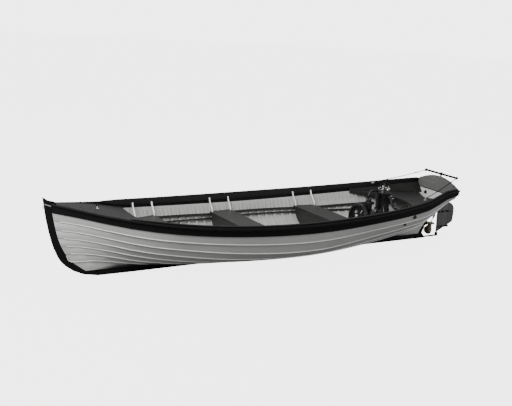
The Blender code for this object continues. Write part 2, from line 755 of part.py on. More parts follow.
def build_transom():
    """The transom inside the plank ends, its top crowned above the sheer."""
    rings = []
    for x in (TRANSOM_X, TRANSOM_X + TRANSOM_THICK):
        v = (x - TRANSOM_X) / (STEM_RABBET_X - TRANSOM_X)
        side = []
        for girth in (3 + LAP, 4 + LAP, 5 + LAP, 6 + LAP, 7 + LAP, 8):
            point = hull_point(v, girth, -SEAT_GAP * 2)
            side.append(Vector((x, point.y, point.z)))
        head = side[-1]
        crown = []
        for i in range(1, CROWN_STEPS):
            out = 1 - i / CROWN_STEPS
            crown.append(Vector((x, head.y * out, head.z + TRANSOM_CROWN * (1 - out * out))))
        top = Vector((x, 0.0, head.z + TRANSOM_CROWN))
        foot = Vector((x, STATIONS[0][3].y - 0.010, STATIONS[0][3].z - 0.004 + HORN_THICK + SEAT_GAP))
        port = [foot] + side + crown
        ring = port + [top] + mirrored(reversed(port), -1)
        rings.append(ring)
    bm = bmesh.new()
    add_rings(bm, rings)
    return add_object("transom", bm, "rudder_paint")


def build_frames():
    """Bent ribs from gunwale to gunwale, joined by the keelson that holds them down."""
    bm = bmesh.new()
    gap = -SEAT_GAP * 1.5
    half_steps = 2 * STATION_GAPS
    wide = RIB_WIDTH / 2 / (STEM_RABBET_X - TRANSOM_X)
    for i in range(FIRST_RIB, LAST_RIB + 1):
        v = i / half_steps
        rings = []
        lines = []
        for nudge in (-wide, wide):
            outer = [hull_point(v + nudge, 1 + LAP, gap - TWIST_ROOM)] + rib_line(v + nudge, gap)[1:]
            inner = rib_line(v + nudge, gap - RIB_THICK)
            x = hull_point(v + nudge, 0, 0.0).x
            low_out = Vector((x, KEEL_HALF * 0.6, RABBET_HEIGHT + SEAT_GAP * 2))
            low_in = Vector((x, KEEL_HALF * 0.6, RABBET_HEIGHT + SEAT_GAP * 2 + RIB_THICK))
            lines.append(([low_out] + outer, [low_in] + inner))
        count = len(lines[0][0])
        for k in reversed(range(count)):
            rings.append([lines[0][0][k], lines[1][0][k], lines[1][1][k], lines[0][1][k]])
        rings = [mirrored(r, 1) for r in rings]
        other = [mirrored(r, -1) for r in reversed(rings)]
        add_rings(bm, rings + other)
    ribs = add_object("frames", bm, "inside_light_paint")
    keelson = bmesh.new()
    rings = []
    for i in range(FIRST_RIB - 1, LAST_RIB + 2):
        v = i / half_steps
        x = hull_point(v, 0, 0.0).x
        low = RABBET_HEIGHT + SEAT_GAP
        high = RABBET_HEIGHT + 0.020
        room = max(KEEL_HALF * 0.7, min(0.045, inner_half(x, high) - 0.004))
        foot = KEEL_HALF * 0.7
        rings.append([Vector((x, foot, low)), Vector((x, room, high)),
                      Vector((x, -room, high)), Vector((x, -foot, low))])
    add_rings(keelson, rings)
    keel_piece = add_object("keelson", keelson, "inside_light_paint")
    return boolean(ribs, [keel_piece])


def along_line(line, x):
    """Height of a line of (x, height) points at x."""
    for (low_x, low), (high_x, high) in zip(line, line[1:]):
        if x <= high_x or (high_x, high) == line[-1]:
            return between(low, high, (x - low_x) / (high_x - low_x))


def riser_line():
    """The risers' top edge: level under each thwart, fair between them."""
    line = [RISER_AFT]
    for _, centre, top, _ in sorted(THWARTS, key=lambda row: row[1]):
        for way in (-1, 1):
            reach = THWART_WIDTH / 2 + THWART_EASE
            line.append((centre + way * reach, top - THWART_THICK - SEAT_GAP))
    return line + [RISER_FORE]


def strip_on_ribs(name, side, line, depth, thick):
    """A stringer sprung along the inside of the ribs, its top edge on a line of (x, height)."""
    start = line[0][0]
    end = line[-1][0]
    stations = [between(TRANSOM_X, STEM_RABBET_X, k / STATION_GAPS) for k in range(STATION_GAPS + 1)]
    places = sorted({x for x, _ in line} | {x for x in stations if start + RIB_WIDTH < x < end - RIB_WIDTH})
    rings = []
    for x in places:
        top = along_line(line, x)
        high = inner_point(x, top, -(RIB_THICK + 3.5 * SEAT_GAP))
        low = inner_point(x, top - depth, -(RIB_THICK + 3.5 * SEAT_GAP))
        inboard = Vector((0.0, thick, 0.0))
        ring = [high, low, low - inboard, high - inboard]
        rings.append(mirrored(ring, side))
    bm = bmesh.new()
    add_rings(bm, rings)
    return add_object(name, bm, "seat_wood")


def inwale_face(v, height):
    """Half-breadth at the inboard face of the inwale at a height."""
    top = hull_point(v, STRAKES, 0.0)
    low = hull_point(v, STRAKES - INWALE_GIRTH, 0.0)
    share = (height - low.z) / (top.z + CAP_THICK - low.z)
    return between(low.y, top.y, share) - INWALE


def build_thwart(name, centre, top):
    """A thwart on the risers with its four bent iron knees."""
    fore = centre + THWART_WIDTH / 2
    aft = centre - THWART_WIDTH / 2
    rings = []
    for height in (top - THWART_THICK, top):
        ring = []
        for x, side in ((fore, 1), (aft, 1), (aft, -1), (fore, -1)):
            half = min(inside_ribs(x, top - THWART_THICK), inside_ribs(x, top))
            ring.append(Vector((x, side * (half - SEAT_GAP), height)))
        rings.append(ring)
    bm = bmesh.new()
    add_rings(bm, rings)
    board = add_object(name, bm, "seat_wood")
    knees = []
    for x in (fore - KNEE_EDGE, aft + KNEE_EDGE):
        for side in (1, -1):
            v = v_at(x)
            reach = KNEE_RADIUS * 1.15 + SEAT_GAP + abs(x) * 0.0015
            head_z = hull_point(v, STRAKES - 0.22, 0.0).z
            neck_z = hull_point(v, STRAKES - 0.60, 0.0).z
            head = inwale_face(v, head_z) - reach
            neck = inwale_face(v, neck_z) - reach
            foot = inside_ribs(x, top) - KNEE_FOOT
            path = (
                (x, side * foot, top - THWART_THICK / 2),
                (x, side * foot, top + 0.018),
                (x, side * (foot + 0.006), top + 0.032),
                (x, side * neck, neck_z),
                (x, side * head, head_z),
            )
            rod = bmesh.new()
            add_rod(rod, path, KNEE_RADIUS)
            knees.append(add_object("knee", rod, "galvanised"))
    return boolean(board, knees)


def build_panel(name, x, top):
    """The boarded panel under a thwart's front edge, down to the floorboards."""
    low = FLOOR_TOP + SEAT_GAP
    high = top - THWART_THICK - SEAT_GAP
    notch = along_line(STRINGER_LINE, x) - STRINGER_DEPTH - 0.003
    clear = RISER_THICK + 0.002
    port = []
    for height, inset in ((low, 0.0), (between(low, notch, 0.5), 0.0), (notch, 0.0), (notch, clear),
                          (between(notch, high, 0.5), clear), (high, clear)):
        half = min(inside_ribs(x, height), inside_ribs(x - PANEL_THICK, height)) - 0.001 - inset
        port.append((half, height))
    outline = port + [(-y, z) for y, z in reversed(port)]
    bm = bmesh.new()
    add_prism(bm, outline, "x", x - PANEL_THICK, x)
    return add_object(name, bm, "seat_wood")


def build_floor():
    """Floorboards laid fore and aft on cross battens."""
    low = FLOOR_TOP - FLOOR_THICK
    boards = []
    pitch = BOARD_WIDTH + BOARD_GAP
    for i in range(-3, 4):
        middle = i * pitch
        edge = abs(middle) + BOARD_WIDTH / 2
        reach = []
        for way in (-1, 1):
            x = 0.0
            limit = FLOOR_FORE_X if way > 0 else FLOOR_AFT_X
            while abs(x) < abs(limit) and inside_ribs(x + way * 0.02, low) > edge + 0.002:
                x += way * 0.02
            reach.append(x)
        bm = bmesh.new()
        add_box(bm, (reach[0], middle - BOARD_WIDTH / 2, low), (reach[1], middle + BOARD_WIDTH / 2, FLOOR_TOP))
        boards.append(add_object("board", bm, "inside_light_paint"))
    batten_top = low + 0.003
    for x in (-0.85, -0.35, 0.45, 0.95):
        half = inside_ribs(x, batten_top - 0.014) - 0.004
        half = min(half, 3.4 * pitch)
        bm = bmesh.new()
        add_box(bm, (x - 0.016, -half, batten_top - 0.014), (x + 0.016, half, batten_top))
        boards.append(add_object("batten", bm, "inside_light_paint"))
    floor = boards.pop(3)
    floor.name = "floorboards"
    return boolean(floor, boards)


def build_seat():
    """The horseshoe seat in the stern, hollowed toward the engine and open at the transom."""
    fore, aft = seat_corners()
    steps = 8
    port = []
    for i in range(steps + 1):
        x = between(fore, aft, i / steps)
        port.append((x, seat_half(x)))
    inner = []
    for i in range(1, 2 * steps):
        y = between(-seat_half(fore), seat_half(fore), i / (2 * steps))
        inner.append((SEAT_FORE_X + SEAT_CURVE * y * y, y))
    outline = port + [(SEAT_NOTCH_X, 0.0)] + [(x, -y) for x, y in reversed(port)] + inner
    bm = bmesh.new()
    add_prism(bm, outline, "z", SEAT_TOP - SEAT_THICK, SEAT_TOP)
    return add_object("stern_seat", bm, "seat_wood")


def seat_half(x):
    """Half-breadth of the stern seat at x."""
    return min(inside_ribs(x, SEAT_TOP - SEAT_THICK), inside_ribs(x, SEAT_TOP)) - 2 * SEAT_GAP


def seat_corners():
    """Where the seat's fore and after edges meet the side: their x."""
    fore = SEAT_FORE_X
    aft = SEAT_NOTCH_X
    for _ in range(8):
        fore = SEAT_FORE_X + SEAT_CURVE * seat_half(fore) ** 2
        aft = SEAT_NOTCH_X - SEAT_NOTCH_SWEEP * seat_half(aft)
    return fore, aft


def build_seat_back(name, side):
    """The lining board between the seat and the inwale, sprung round the ribs."""
    fore, aft = seat_corners()
    steps = 6
    rings = []
    for i in range(steps + 1):
        x = between(aft, fore, i / steps)
        v = v_at(x)
        stand = -(RIB_THICK + 3.5 * SEAT_GAP)
        low = inner_point(x, SEAT_TOP, stand)
        low.z = SEAT_TOP + 2 * SEAT_GAP
        high = hull_point(v, STRAKES - INWALE_GIRTH, stand)
        high.z = hull_point(v, STRAKES - INWALE_GIRTH, 0.0).z - 2 * SEAT_GAP
        inboard = Vector((0.0, SEAT_BACK_THICK, 0.0))
        rings.append(mirrored([high, low, low - inboard, high - inboard], side))
    bm = bmesh.new()
    add_rings(bm, rings)
    return add_object(name, bm, "seat_wood")


def build_foredeck():
    """The foredeck between the sheer strakes, its after edge hollowed."""
    top = []
    bottom = []
    first = v_at(DECK_AFT_X)
    places = [first] + [k / STATION_GAPS for k in range(GUNWALE_END, STATION_GAPS)] + [DECK_FORE_V]
    for i, v in enumerate(places):
        share = (v - first) / (DECK_FORE_V - first)
        sink = between(DECK_SINK, DECK_SINK * 0.15, min(1.0, share * 1.6))
        edge = hull_point(v, STRAKES - sink, sheer_inside(STRAKES - sink) - SEAT_GAP * 2)
        row_top = []
        row_low = []
        for k in range(-4, 5):
            across = k / 4
            bow = 1 - across * across
            x = edge.x + DECK_HOLLOW * bow * (1 - share) ** 3
            rise = DECK_CAMBER * bow
            row_top.append(Vector((x, edge.y * across, edge.z + rise)))
            row_low.append(Vector((x, edge.y * across * 0.985, edge.z + rise - DECK_THICK)))
        top.append(row_top)
        bottom.append(row_low)
    bm = bmesh.new()
    add_shell(bm, top, bottom)
    return add_object("foredeck", bm, "deck_wood")


def build_gunwale(name, side):
    """Inwale inside the sheer strake with the cap over its top edge."""
    rings = []
    for k in range(GUNWALE_END + 2):
        v = k / STATION_GAPS if k else (TRANSOM_THICK + 0.002) / (STEM_RABBET_X - TRANSOM_X)
        left = GUNWALE_TAPER if k > GUNWALE_END else 1.0
        top = hull_point(v, STRAKES, 0.0)
        low = hull_point(v, STRAKES - INWALE_GIRTH * left, 0.0)
        face = hull_point(v, STRAKES, PLANK)
        gap = SEAT_GAP * 1.5
        ring = [
            Vector((top.x, face.y, top.z + gap)),
            Vector((top.x, top.y - gap, top.z + gap)),
            Vector((top.x, low.y - gap, low.z)),
            Vector((top.x, low.y - INWALE * left, low.z)),
            Vector((top.x, top.y - INWALE * left, top.z + CAP_THICK * left)),
            Vector((top.x, face.y, top.z + CAP_THICK * left)),
        ]
        rings.append(mirrored(ring, side))
    bm = bmesh.new()
    add_rings(bm, rings)
    return add_object(name, bm, "sheer_dark_paint")


def build_rub_rail(name, side):
    """The half-round rub rail along the top of the sheer strake."""
    rings = []
    for k in range(STATION_GAPS + 1):
        v = k / STATION_GAPS
        gap = SEAT_GAP * (4 if v < 0.35 else 2)
        top = hull_point(v, STRAKES, PLANK + gap)
        low = hull_point(v, RUB_GIRTH, sheer_face(RUB_GIRTH) + gap)
        wide = RUB_WIDTH * min(1.0, 0.35 + (1 - v) / 0.15)
        ring = [
            top,
            low,
            low + Vector((0.0, wide * 0.6, 0.003)),
            between(low, top, 0.5) + Vector((0.0, wide, 0.0)),
            top + Vector((0.0, wide * 0.6, 0.0)),
        ]
        rings.append(mirrored(ring, side))
    bm = bmesh.new()
    add_rings(bm, rings)
    return add_object(name, bm, "sheer_dark_paint")


def build_hull():
    """Backbone, skin, rails and all that is fixed inside."""
    build_keel()
    build_stem()
    build_sternpost()
    build_horn_timber()
    build_transom()
    for tag, side in (("port", 1), ("starboard", -1)):
        for low, name in enumerate(STRAKE_NAMES):
            build_strake(f"{name}_{tag}", side, low)
        build_sheer_strake(f"sheer_strake_{tag}", side)
        build_gunwale(f"gunwale_{tag}", side)
        build_rub_rail(f"rub_rail_{tag}", side)
        strip_on_ribs(f"riser_{tag}", side, riser_line(), RISER_DEPTH, RISER_THICK)
        strip_on_ribs(f"stringer_{tag}", side, STRINGER_LINE, STRINGER_DEPTH, STRINGER_THICK)
        build_seat_back(f"seat_back_{tag}", side)
    build_frames()
    for name, centre, top, panel in THWARTS:
        build_thwart(name, centre, top)
        if panel:
            build_panel(name.replace("thwart", "panel"), centre + THWART_WIDTH / 2 - 0.004, top)
    build_floor()
    build_seat()
    build_foredeck()


def shaft_turned(bm, profile, x, segments=24):
    """Turn a profile about the shaft line, distances measured forward from x."""
    add_turned(bm, profile, shaft_point(x), SHAFT_WAY, segments)


def build_shaft_and_propeller():
    """The shaft from the engine's reduction case to the hub, and the two-bladed propeller."""
    reach = (COUPLING_X - PROP_X) / SHAFT_WAY.x
    engine = (CRANKCASE_AFT_X - PROP_X) / SHAFT_WAY.x - GEARBOX_LENGTH
    bm = bmesh.new()
    profile = (
        (HUB_LENGTH / 2 + SEAT_GAP, SHAFT_RADIUS),
        (reach - 0.030, SHAFT_RADIUS),
        (reach - 0.030, COUPLING_RADIUS * 0.6),
        (reach - 0.014, COUPLING_RADIUS * 0.6),
        (reach - 0.014, COUPLING_RADIUS),
        (reach, COUPLING_RADIUS),
        (reach, SHAFT_RADIUS),
        (engine + 0.020, SHAFT_RADIUS),
    )
    shaft_turned(bm, profile, PROP_X, 16)
    hang(add_object("propeller_shaft", bm, "bronze", 40), SHAFT_PIVOT)
    bm = bmesh.new()
    profile = (
        (-HUB_LENGTH / 2 - 0.022, 0.003),
        (-HUB_LENGTH / 2 - 0.014, HUB_RADIUS * 0.55),
        (-HUB_LENGTH / 2, HUB_RADIUS * 0.8),
        (-HUB_LENGTH / 4, HUB_RADIUS),
        (HUB_LENGTH / 4, HUB_RADIUS),
        (HUB_LENGTH / 2, HUB_RADIUS * 0.85),
    )
    shaft_turned(bm, profile, PROP_X, 18)
    hub = add_object("propeller", bm, "bronze", 40)
    turn = SHAFT_WAY.to_track_quat("Z", "Y").to_matrix()
    blades = []
    for n in range(BLADES):
        around = Matrix.Rotation(math.tau * n / BLADES + BLADE_SETTING, 3, "Z")
        bm = bmesh.new()
        rings = []
        for share, chord in BLADE_CHORDS:
            radius = HUB_RADIUS * 0.6 + (PROP_RADIUS - HUB_RADIUS * 0.6) * share
            twist = -math.atan2(BLADE_PITCH, math.tau * radius)
            thick = between(0.007, 0.0025, share)
            ring = []
            for along, up in ((-0.5, 0.0), (-0.2, 0.5), (0.2, 0.5), (0.5, 0.0), (0.2, -0.5), (-0.2, -0.5)):
                a = along * chord
                b = up * thick
                local = Vector((radius, a * math.cos(twist) - b * math.sin(twist),
                                a * math.sin(twist) + b * math.cos(twist)))
                ring.append(shaft_point(PROP_X) + turn @ (around @ local))
            rings.append(ring)
        add_rings(bm, rings)
        bmesh.ops.triangulate(bm, faces=bm.faces)
        blades.append(add_object("blade", bm, "bronze", 40))
    return hang(boolean(hub, blades), SHAFT_PIVOT)


def build_stern_bearing():
    """The bearing that carries the shaft outside the sternpost."""
    middle = (POST_FOOT_AFT[0] + POST_HEAD_AFT[0]) / 2
    share = (shaft_height(middle) - POST_FOOT_AFT[1]) / (POST_HEAD_AFT[1] - POST_FOOT_AFT[1])
    face = between(POST_FOOT_AFT[0], POST_HEAD_AFT[0], share)
    start = HUB_LENGTH / 2 + 0.006
    reach = (face - PROP_X) / SHAFT_WAY.x
    slope = 0.010
    bm = bmesh.new()
    profile = ((start, 0.018), (reach - slope - 0.012, 0.020), (reach - slope - 0.010, 0.030),
               (reach - slope, 0.030))
    shaft_turned(bm, profile, PROP_X, 16)
    bearing = add_object("stern_bearing", bm, "bronze", 40)
    bm = bmesh.new()
    shaft_turned(bm, ((0.0, SHAFT_RADIUS + BEARING_GAP), (0.2, SHAFT_RADIUS + BEARING_GAP)), PROP_X, 16)
    return boolean(bearing, [add_object("bore", bm, "bronze")], "DIFFERENCE")


def build_flywheel():
    """The rimmed flywheel with round windows in its web, and its hub toward the engine."""
    bm = bmesh.new()
    half = FLYWHEEL_WIDTH / 2
    inner = FLYWHEEL_RADIUS - FLYWHEEL_RIM
    boss = half + 0.064
    profile = (
        (-boss, FLYWHEEL_BOSS), (-half * 0.35, FLYWHEEL_BOSS), (-half * 0.35, inner), (-half, inner),
        (-half, FLYWHEEL_RADIUS - 0.004), (-half + 0.004, FLYWHEEL_RADIUS),
        (half - 0.004, FLYWHEEL_RADIUS), (half, FLYWHEEL_RADIUS - 0.004), (half, inner),
        (half * 0.35, inner), (half * 0.35, FLYWHEEL_BOSS), (half * 0.9, FLYWHEEL_BOSS),
        (half * 0.9, FLYWHEEL_BOSS * 0.6), (half * 1.15, FLYWHEEL_BOSS * 0.6),
    )
    shaft_turned(bm, profile, FLYWHEEL_X, 24)
    wheel = add_object("flywheel", bm, "engine_black", 35)
    turn = SHAFT_WAY.to_track_quat("Z", "Y").to_matrix()
    ring = (FLYWHEEL_BOSS + inner) / 2
    cutters = []
    for n in range(FLYWHEEL_WINDOWS):
        angle = math.tau * (n + 0.5) / FLYWHEEL_WINDOWS
        middle = shaft_point(FLYWHEEL_X) + turn @ Vector((ring * math.cos(angle), ring * math.sin(angle), 0.0))
        bm = bmesh.new()
        add_turned(bm, ((-0.02, WINDOW_RADIUS), (0.02, WINDOW_RADIUS)), middle, SHAFT_WAY, 12)
        cutters.append(add_object("window", bm, "engine_black"))
    return hang(boolean(wheel, cutters, "DIFFERENCE"), SHAFT_PIVOT)


def build_engine_bed():
    """Two bearers along the shaft line on cross floors."""
    pieces = []
    for side in (1, -1):
        bm = bmesh.new()
        outline = []
        steps = 4
        for i in range(steps + 1):
            x = between(BEARER_AFT_X, BEARER_FORE_X, i / steps)
            outline.append((x, bearer_foot(x)))
        for x in (BEARER_FORE_X, BEARER_AFT_X):
            outline.append((x, shaft_height(x) - BED_DROP))
        low = BEARER_HALF_GAP - BEARER_THICK / 2
        high = BEARER_HALF_GAP + BEARER_THICK / 2
        add_prism(bm, outline, "y", min(side * low, side * high), max(side * low, side * high))
        pieces.append(add_object("bearer", bm, "seat_wood"))
    for x in (BEARER_FORE_X - 0.02, BEARER_AFT_X + 0.06):
        foot = bearer_foot(x)
        low = RABBET_HEIGHT + CROSS_FLOOR_RISE
        port = [(inside_ribs(x, low) - 0.003, low), (BEARER_HALF_GAP, foot + 0.002),
                (BEARER_HALF_GAP, foot + 0.020)]
        bm = bmesh.new()
        add_prism(bm, port + [(-y, z) for y, z in reversed(port)], "x", x - 0.018, x + 0.018)
        pieces.append(add_object("cross_floor", bm, "seat_wood"))
    bed = pieces.pop(0)
    bed.name = "engine_bed"
    return boolean(bed, pieces)


def bearer_foot(x):
    """Height of the ribs' inner face under the bearers' outboard side."""
    want = BEARER_HALF_GAP + BEARER_THICK / 2 + 0.002
    low = RABBET_HEIGHT
    high = 0.40
    for _ in range(30):
        middle = (low + high) / 2
        if inside_ribs(x, middle) < want:
            low = middle
        else:
            high = middle
    return high + SEAT_GAP


def build_engine():
    """The single-cylinder engine: crankcase on the bearers, cylinder, head and fittings."""
    bm = bmesh.new()
    length = CRANKCASE_LENGTH
    profile = (
        (-GEARBOX_LENGTH, GEARBOX_RADIUS * 0.6), (-GEARBOX_LENGTH + 0.010, GEARBOX_RADIUS),
        (0.030, GEARBOX_RADIUS), (0.032, CRANKCASE_RADIUS * 0.9), (0.045, CRANKCASE_RADIUS),
        (length - 0.045, CRANKCASE_RADIUS), (length - 0.032, CRANKCASE_RADIUS * 0.9),
        (length - 0.030, 0.045), (length, 0.040),
    )
    shaft_turned(bm, profile, CRANKCASE_AFT_X, 20)
    case = add_object("crankcase", bm, "engine_black", 40)
    aft = shaft_point(CRANKCASE_AFT_X)
    pieces = []
    for side in (1, -1):
        bm = bmesh.new()
        rings = []
        for along in (0.050, length - 0.050):
            here = aft + SHAFT_WAY * along
            base = here.z - BED_DROP + SEAT_GAP * 2
            outline = ((0.040, 0.0), (BEARER_HALF_GAP + 0.018, 0.0), (BEARER_HALF_GAP + 0.018, 0.014),
                       (0.075, 0.020), (0.040, 0.040))
            rings.append([Vector((here.x, side * y, base + z)) for y, z in outline])
        add_rings(bm, rings)
        pieces.append(add_object("foot", bm, "engine_black"))
    boolean(case, pieces)
    for start, reach in ((-GEARBOX_LENGTH - 0.02, 0.05), (length - 0.03, 0.05)):
        bm = bmesh.new()
        radius = SHAFT_RADIUS + BEARING_GAP if start < 0 else FLYWHEEL_BOSS + BEARING_GAP
        shaft_turned(bm, ((start, radius), (start + reach, radius)), CRANKCASE_AFT_X, 20)
        boolean(case, [add_object("bore", bm, "engine_black")], "DIFFERENCE")
    base = shaft_height(CYLINDER_X) + CRANKCASE_RADIUS + CYLINDER_PAD
    tall = CYLINDER_TOP - base
    flange = CYLINDER_RADIUS + 0.010
    bm = bmesh.new()
    add_turned(bm, ((0.03, flange), (CRANKCASE_RADIUS + CYLINDER_PAD - SEAT_GAP, flange)),
               shaft_point(CYLINDER_X), (0, 0, 1), 20)
    boolean(case, [add_object("pad", bm, "engine_black")])
    bm = bmesh.new()
    profile = (
        (0.0, flange), (0.012, flange), (0.013, CYLINDER_RADIUS * 0.92), (0.030, CYLINDER_RADIUS),
        (tall - 0.055, CYLINDER_RADIUS), (tall - 0.053, CYLINDER_RADIUS + 0.008),
        (tall - 0.034, CYLINDER_RADIUS + 0.008), (tall - 0.032, CYLINDER_RADIUS - 0.004),
        (tall - 0.010, CYLINDER_RADIUS - 0.010), (tall, CYLINDER_RADIUS - 0.028),
    )
    add_turned(bm, profile, (CYLINDER_X, 0.0, base), (0, 0, 1), 24)
    cylinder = add_object("cylinder", bm, "engine_black", 40)
    bm = bmesh.new()
    rise = HEAD_CUP_TOP - CYLINDER_TOP
    profile = ((-0.005, 0.016), (rise * 0.3, 0.016), (rise * 0.35, 0.008), (rise * 0.6, 0.008),
               (rise * 0.65, 0.013), (rise, 0.013))
    add_turned(bm, profile, (CYLINDER_X, 0.0, CYLINDER_TOP), (0, 0, 1), 12)
    return boolean(cylinder, [add_object("cup", bm, "engine_black")])


def build_carburettor():
    """The float bowl behind the cylinder, with its inlet pipe."""
    x = CYLINDER_X - CARBURETTOR_AFT
    radius = CARBURETTOR_RADIUS
    bm = bmesh.new()
    profile = ((-0.045, radius * 0.5), (-0.040, radius), (0.0, radius), (0.006, radius * 0.6),
               (0.030, radius * 0.6), (0.034, radius * 0.8), (0.046, radius * 0.8))
    add_turned(bm, profile, (x, 0.0, CARBURETTOR_HEIGHT), (0, 0, 1), 14)
    bowl = add_object("carburettor", bm, "engine_black", 40)
    bm = bmesh.new()
    reach = CARBURETTOR_AFT - CYLINDER_RADIUS - SEAT_GAP
    add_turned(bm, ((0.0, radius * 0.45), (reach, radius * 0.45)), (x, 0.0, CARBURETTOR_HEIGHT + 0.018),
               (1, 0, 0), 10)
    return boolean(bowl, [add_object("inlet", bm, "engine_black")])


def build_water_pump():
    """The cooling water's pump on the port side of the crankcase."""
    x = CYLINDER_X + CYLINDER_RADIUS
    start = CRANKCASE_RADIUS + 2 * SEAT_GAP
    bm = bmesh.new()
    profile = ((0.0, PUMP_RADIUS), (0.014, PUMP_RADIUS), (0.018, PUMP_RADIUS * 0.7),
               (0.032, PUMP_RADIUS * 0.7), (0.036, PUMP_RADIUS * 0.4), (0.050, PUMP_RADIUS * 0.4))
    add_turned(bm, profile, (x, start, shaft_height(x) + PUMP_RADIUS * 0.9), (0, 1, 0), 14)
    return add_object("water_pump", bm, "engine_black", 40)


def plank_inside(v, girth):
    """A point on the inner face of the light planking."""
    low = math.floor(girth - LAP)
    share = girth - LAP - low
    return between(hull_point(v, low + LAP, lap_depth(v)), hull_point(v, low + 1 + LAP, 0.0), share)


def plank_outside(v, low, girth):
    """A point on the outer face of the light plank whose lower edge is at girth low."""
    return hull_point(v, girth, PLANK + lap_depth(v) * (low + 1 - girth))


def build_exhaust():
    """The exhaust pipe from the cylinder to the planks, and the outlets outside."""
    v = v_at(EXHAUST_X)
    end = plank_inside(v, EXHAUST_GIRTH)
    end.y -= 2 * SEAT_GAP + EXHAUST_RADIUS * EXHAUST_CANT
    start = CYLINDER_RADIUS + 2 * SEAT_GAP
    path = (
        (CYLINDER_X, start, EXHAUST_HEIGHT),
        (CYLINDER_X, start + 0.045, EXHAUST_HEIGHT),
        (between(CYLINDER_X, end.x, 0.4), start + 0.080, between(EXHAUST_HEIGHT, end.z, 0.5)),
        (between(CYLINDER_X, end.x, 0.8), start + 0.130, between(EXHAUST_HEIGHT, end.z, 0.85)),
        (end.x, end.y, end.z),
    )
    bm = bmesh.new()
    add_rod(bm, path, EXHAUST_RADIUS, 10)
    add_object("exhaust_pipe", bm, "engine_black", 40)
    for name, x, girth, radius in OUTLETS:
        v = v_at(x)
        low = math.floor(girth)
        up = plank_outside(v, low, low + 0.9) - plank_outside(v, low, low + 0.1)
        along = plank_outside(v + 0.005, low, girth) - plank_outside(v - 0.005, low, girth)
        out = up.cross(along).normalized()
        spot = plank_outside(v, low, girth) + out * OUTLET_GAP
        bm = bmesh.new()
        profile = ((0.0, radius), (OUTLET_THICK, radius), (OUTLET_THICK, radius * 0.6),
                   (2.5 * OUTLET_THICK, radius * 0.6))
        add_turned(bm, profile, spot, out, 16)
        add_object(name, bm, "dark_iron", 40)


def build_rudder():
    """The rudder blade on its raked stock, and the yoke on the stock's head."""
    rake = Vector((HEAD[0] - HEEL[0], 0.0, HEAD[1] - HEEL[1])).normalized()
    foot = Vector((HEEL[0], 0.0, HEEL[1])) + rake * 0.006
    tall = YOKE_HEIGHT - foot.z
    bm = bmesh.new()
    add_turned(bm, ((0.0, STOCK_RADIUS * 0.8), (0.004, STOCK_RADIUS), (tall + 0.012, STOCK_RADIUS)),
               foot, rake, 12)
    rudder = add_object("rudder", bm, "rudder_paint", 40)
    bm = bmesh.new()
    add_prism(bm, RUDDER_OUTLINE, "y", -RUDDER_THICK / 2, RUDDER_THICK / 2)
    hang(boolean(rudder, [add_object("blade", bm, "rudder_paint")]), RUDDER_PIVOT)
    centre = foot + rake * (tall - 0.010)
    bm = bmesh.new()
    add_turned(bm, ((-0.012, 0.020), (0.012, 0.020)), centre, rake, 16)
    yoke = add_object("yoke", bm, "dark_iron", 40)
    bm = bmesh.new()
    ends = [(centre.x, side * YOKE_SPAN, centre.z) for side in (-1, 1)]
    add_rod(bm, ends, YOKE_BAR, 8)
    pieces = [add_object("bar", bm, "dark_iron")]
    for end in ends:
        bm = bmesh.new()
        add_turned(bm, ((-0.018, 0.006), (-0.010, 0.017), (0.010, 0.017), (0.018, 0.006)), end, (0, 0, 1), 8)
        pieces.append(add_object("knob", bm, "dark_iron"))
    boolean(yoke, pieces)
    bm = bmesh.new()
    add_turned(bm, ((-0.03, STOCK_RADIUS + SEAT_GAP), (0.03, STOCK_RADIUS + SEAT_GAP)), centre, rake, 12)
    hang(boolean(yoke, [add_object("bore", bm, "dark_iron")], "DIFFERENCE"), RUDDER_PIVOT)


def build_heel_shoe():
    """The iron shoe from the keel's heel to the cup under the rudder stock."""
    bm = bmesh.new()
    fore = KEEL_HEEL_X - 0.045 - SEAT_GAP
    add_box(bm, (HEEL[0], -SHOE_HALF, 0.002), (fore, SHOE_HALF, SHOE_THICK))
    shoe = add_object("heel_shoe", bm, "dark_iron")
    bm = bmesh.new()
    rake = Vector((HEAD[0] - HEEL[0], 0.0, HEAD[1] - HEEL[1])).normalized()
    add_turned(bm, ((-0.024, 0.017), (0.016, 0.019)), (HEEL[0], 0.0, HEEL[1]), rake, 16)
    boolean(shoe, [add_object("cup", bm, "dark_iron")])
    bm = bmesh.new()
    add_turned(bm, ((0.004, STOCK_RADIUS + BEARING_GAP), (0.03, STOCK_RADIUS + BEARING_GAP)),
               (HEEL[0], 0.0, HEEL[1]), rake, 16)
    return boolean(shoe, [add_object("socket", bm, "dark_iron")], "DIFFERENCE")


def build_gudgeons():
    """Two strapped gudgeons that hold the rudder stock to the transom."""
    rake = Vector((HEAD[0] - HEEL[0], 0.0, HEAD[1] - HEEL[1])).normalized()
    for name, height in GUDGEONS:
        share = (height - HEEL[1]) / (HEAD[1] - HEEL[1])
        x = between(HEEL[0], HEAD[0], share)
        bm = bmesh.new()
        add_turned(bm, ((-0.011, 0.017), (0.011, 0.017)), (x, 0.0, height), rake, 16)
        ring = add_object(name, bm, "dark_iron")
        bm = bmesh.new()
        add_box(bm, (x + 0.012, -0.010, height - 0.009), (TRANSOM_X - 0.004, 0.010, height + 0.009))
        arm = add_object("arm", bm, "dark_iron")
        bm = bmesh.new()
        add_box(bm, (TRANSOM_X - 0.005, -0.045, height - 0.012), (TRANSOM_X - SEAT_GAP, 0.045, height + 0.012))
        plate = add_object("plate", bm, "dark_iron")
        boolean(ring, [arm, plate])
        bm = bmesh.new()
        add_turned(bm, ((-0.03, STOCK_RADIUS + BEARING_GAP), (0.03, STOCK_RADIUS + BEARING_GAP)),
                   (x, 0.0, height), rake, 16)
        boolean(ring, [add_object("bore", bm, "dark_iron")], "DIFFERENCE")


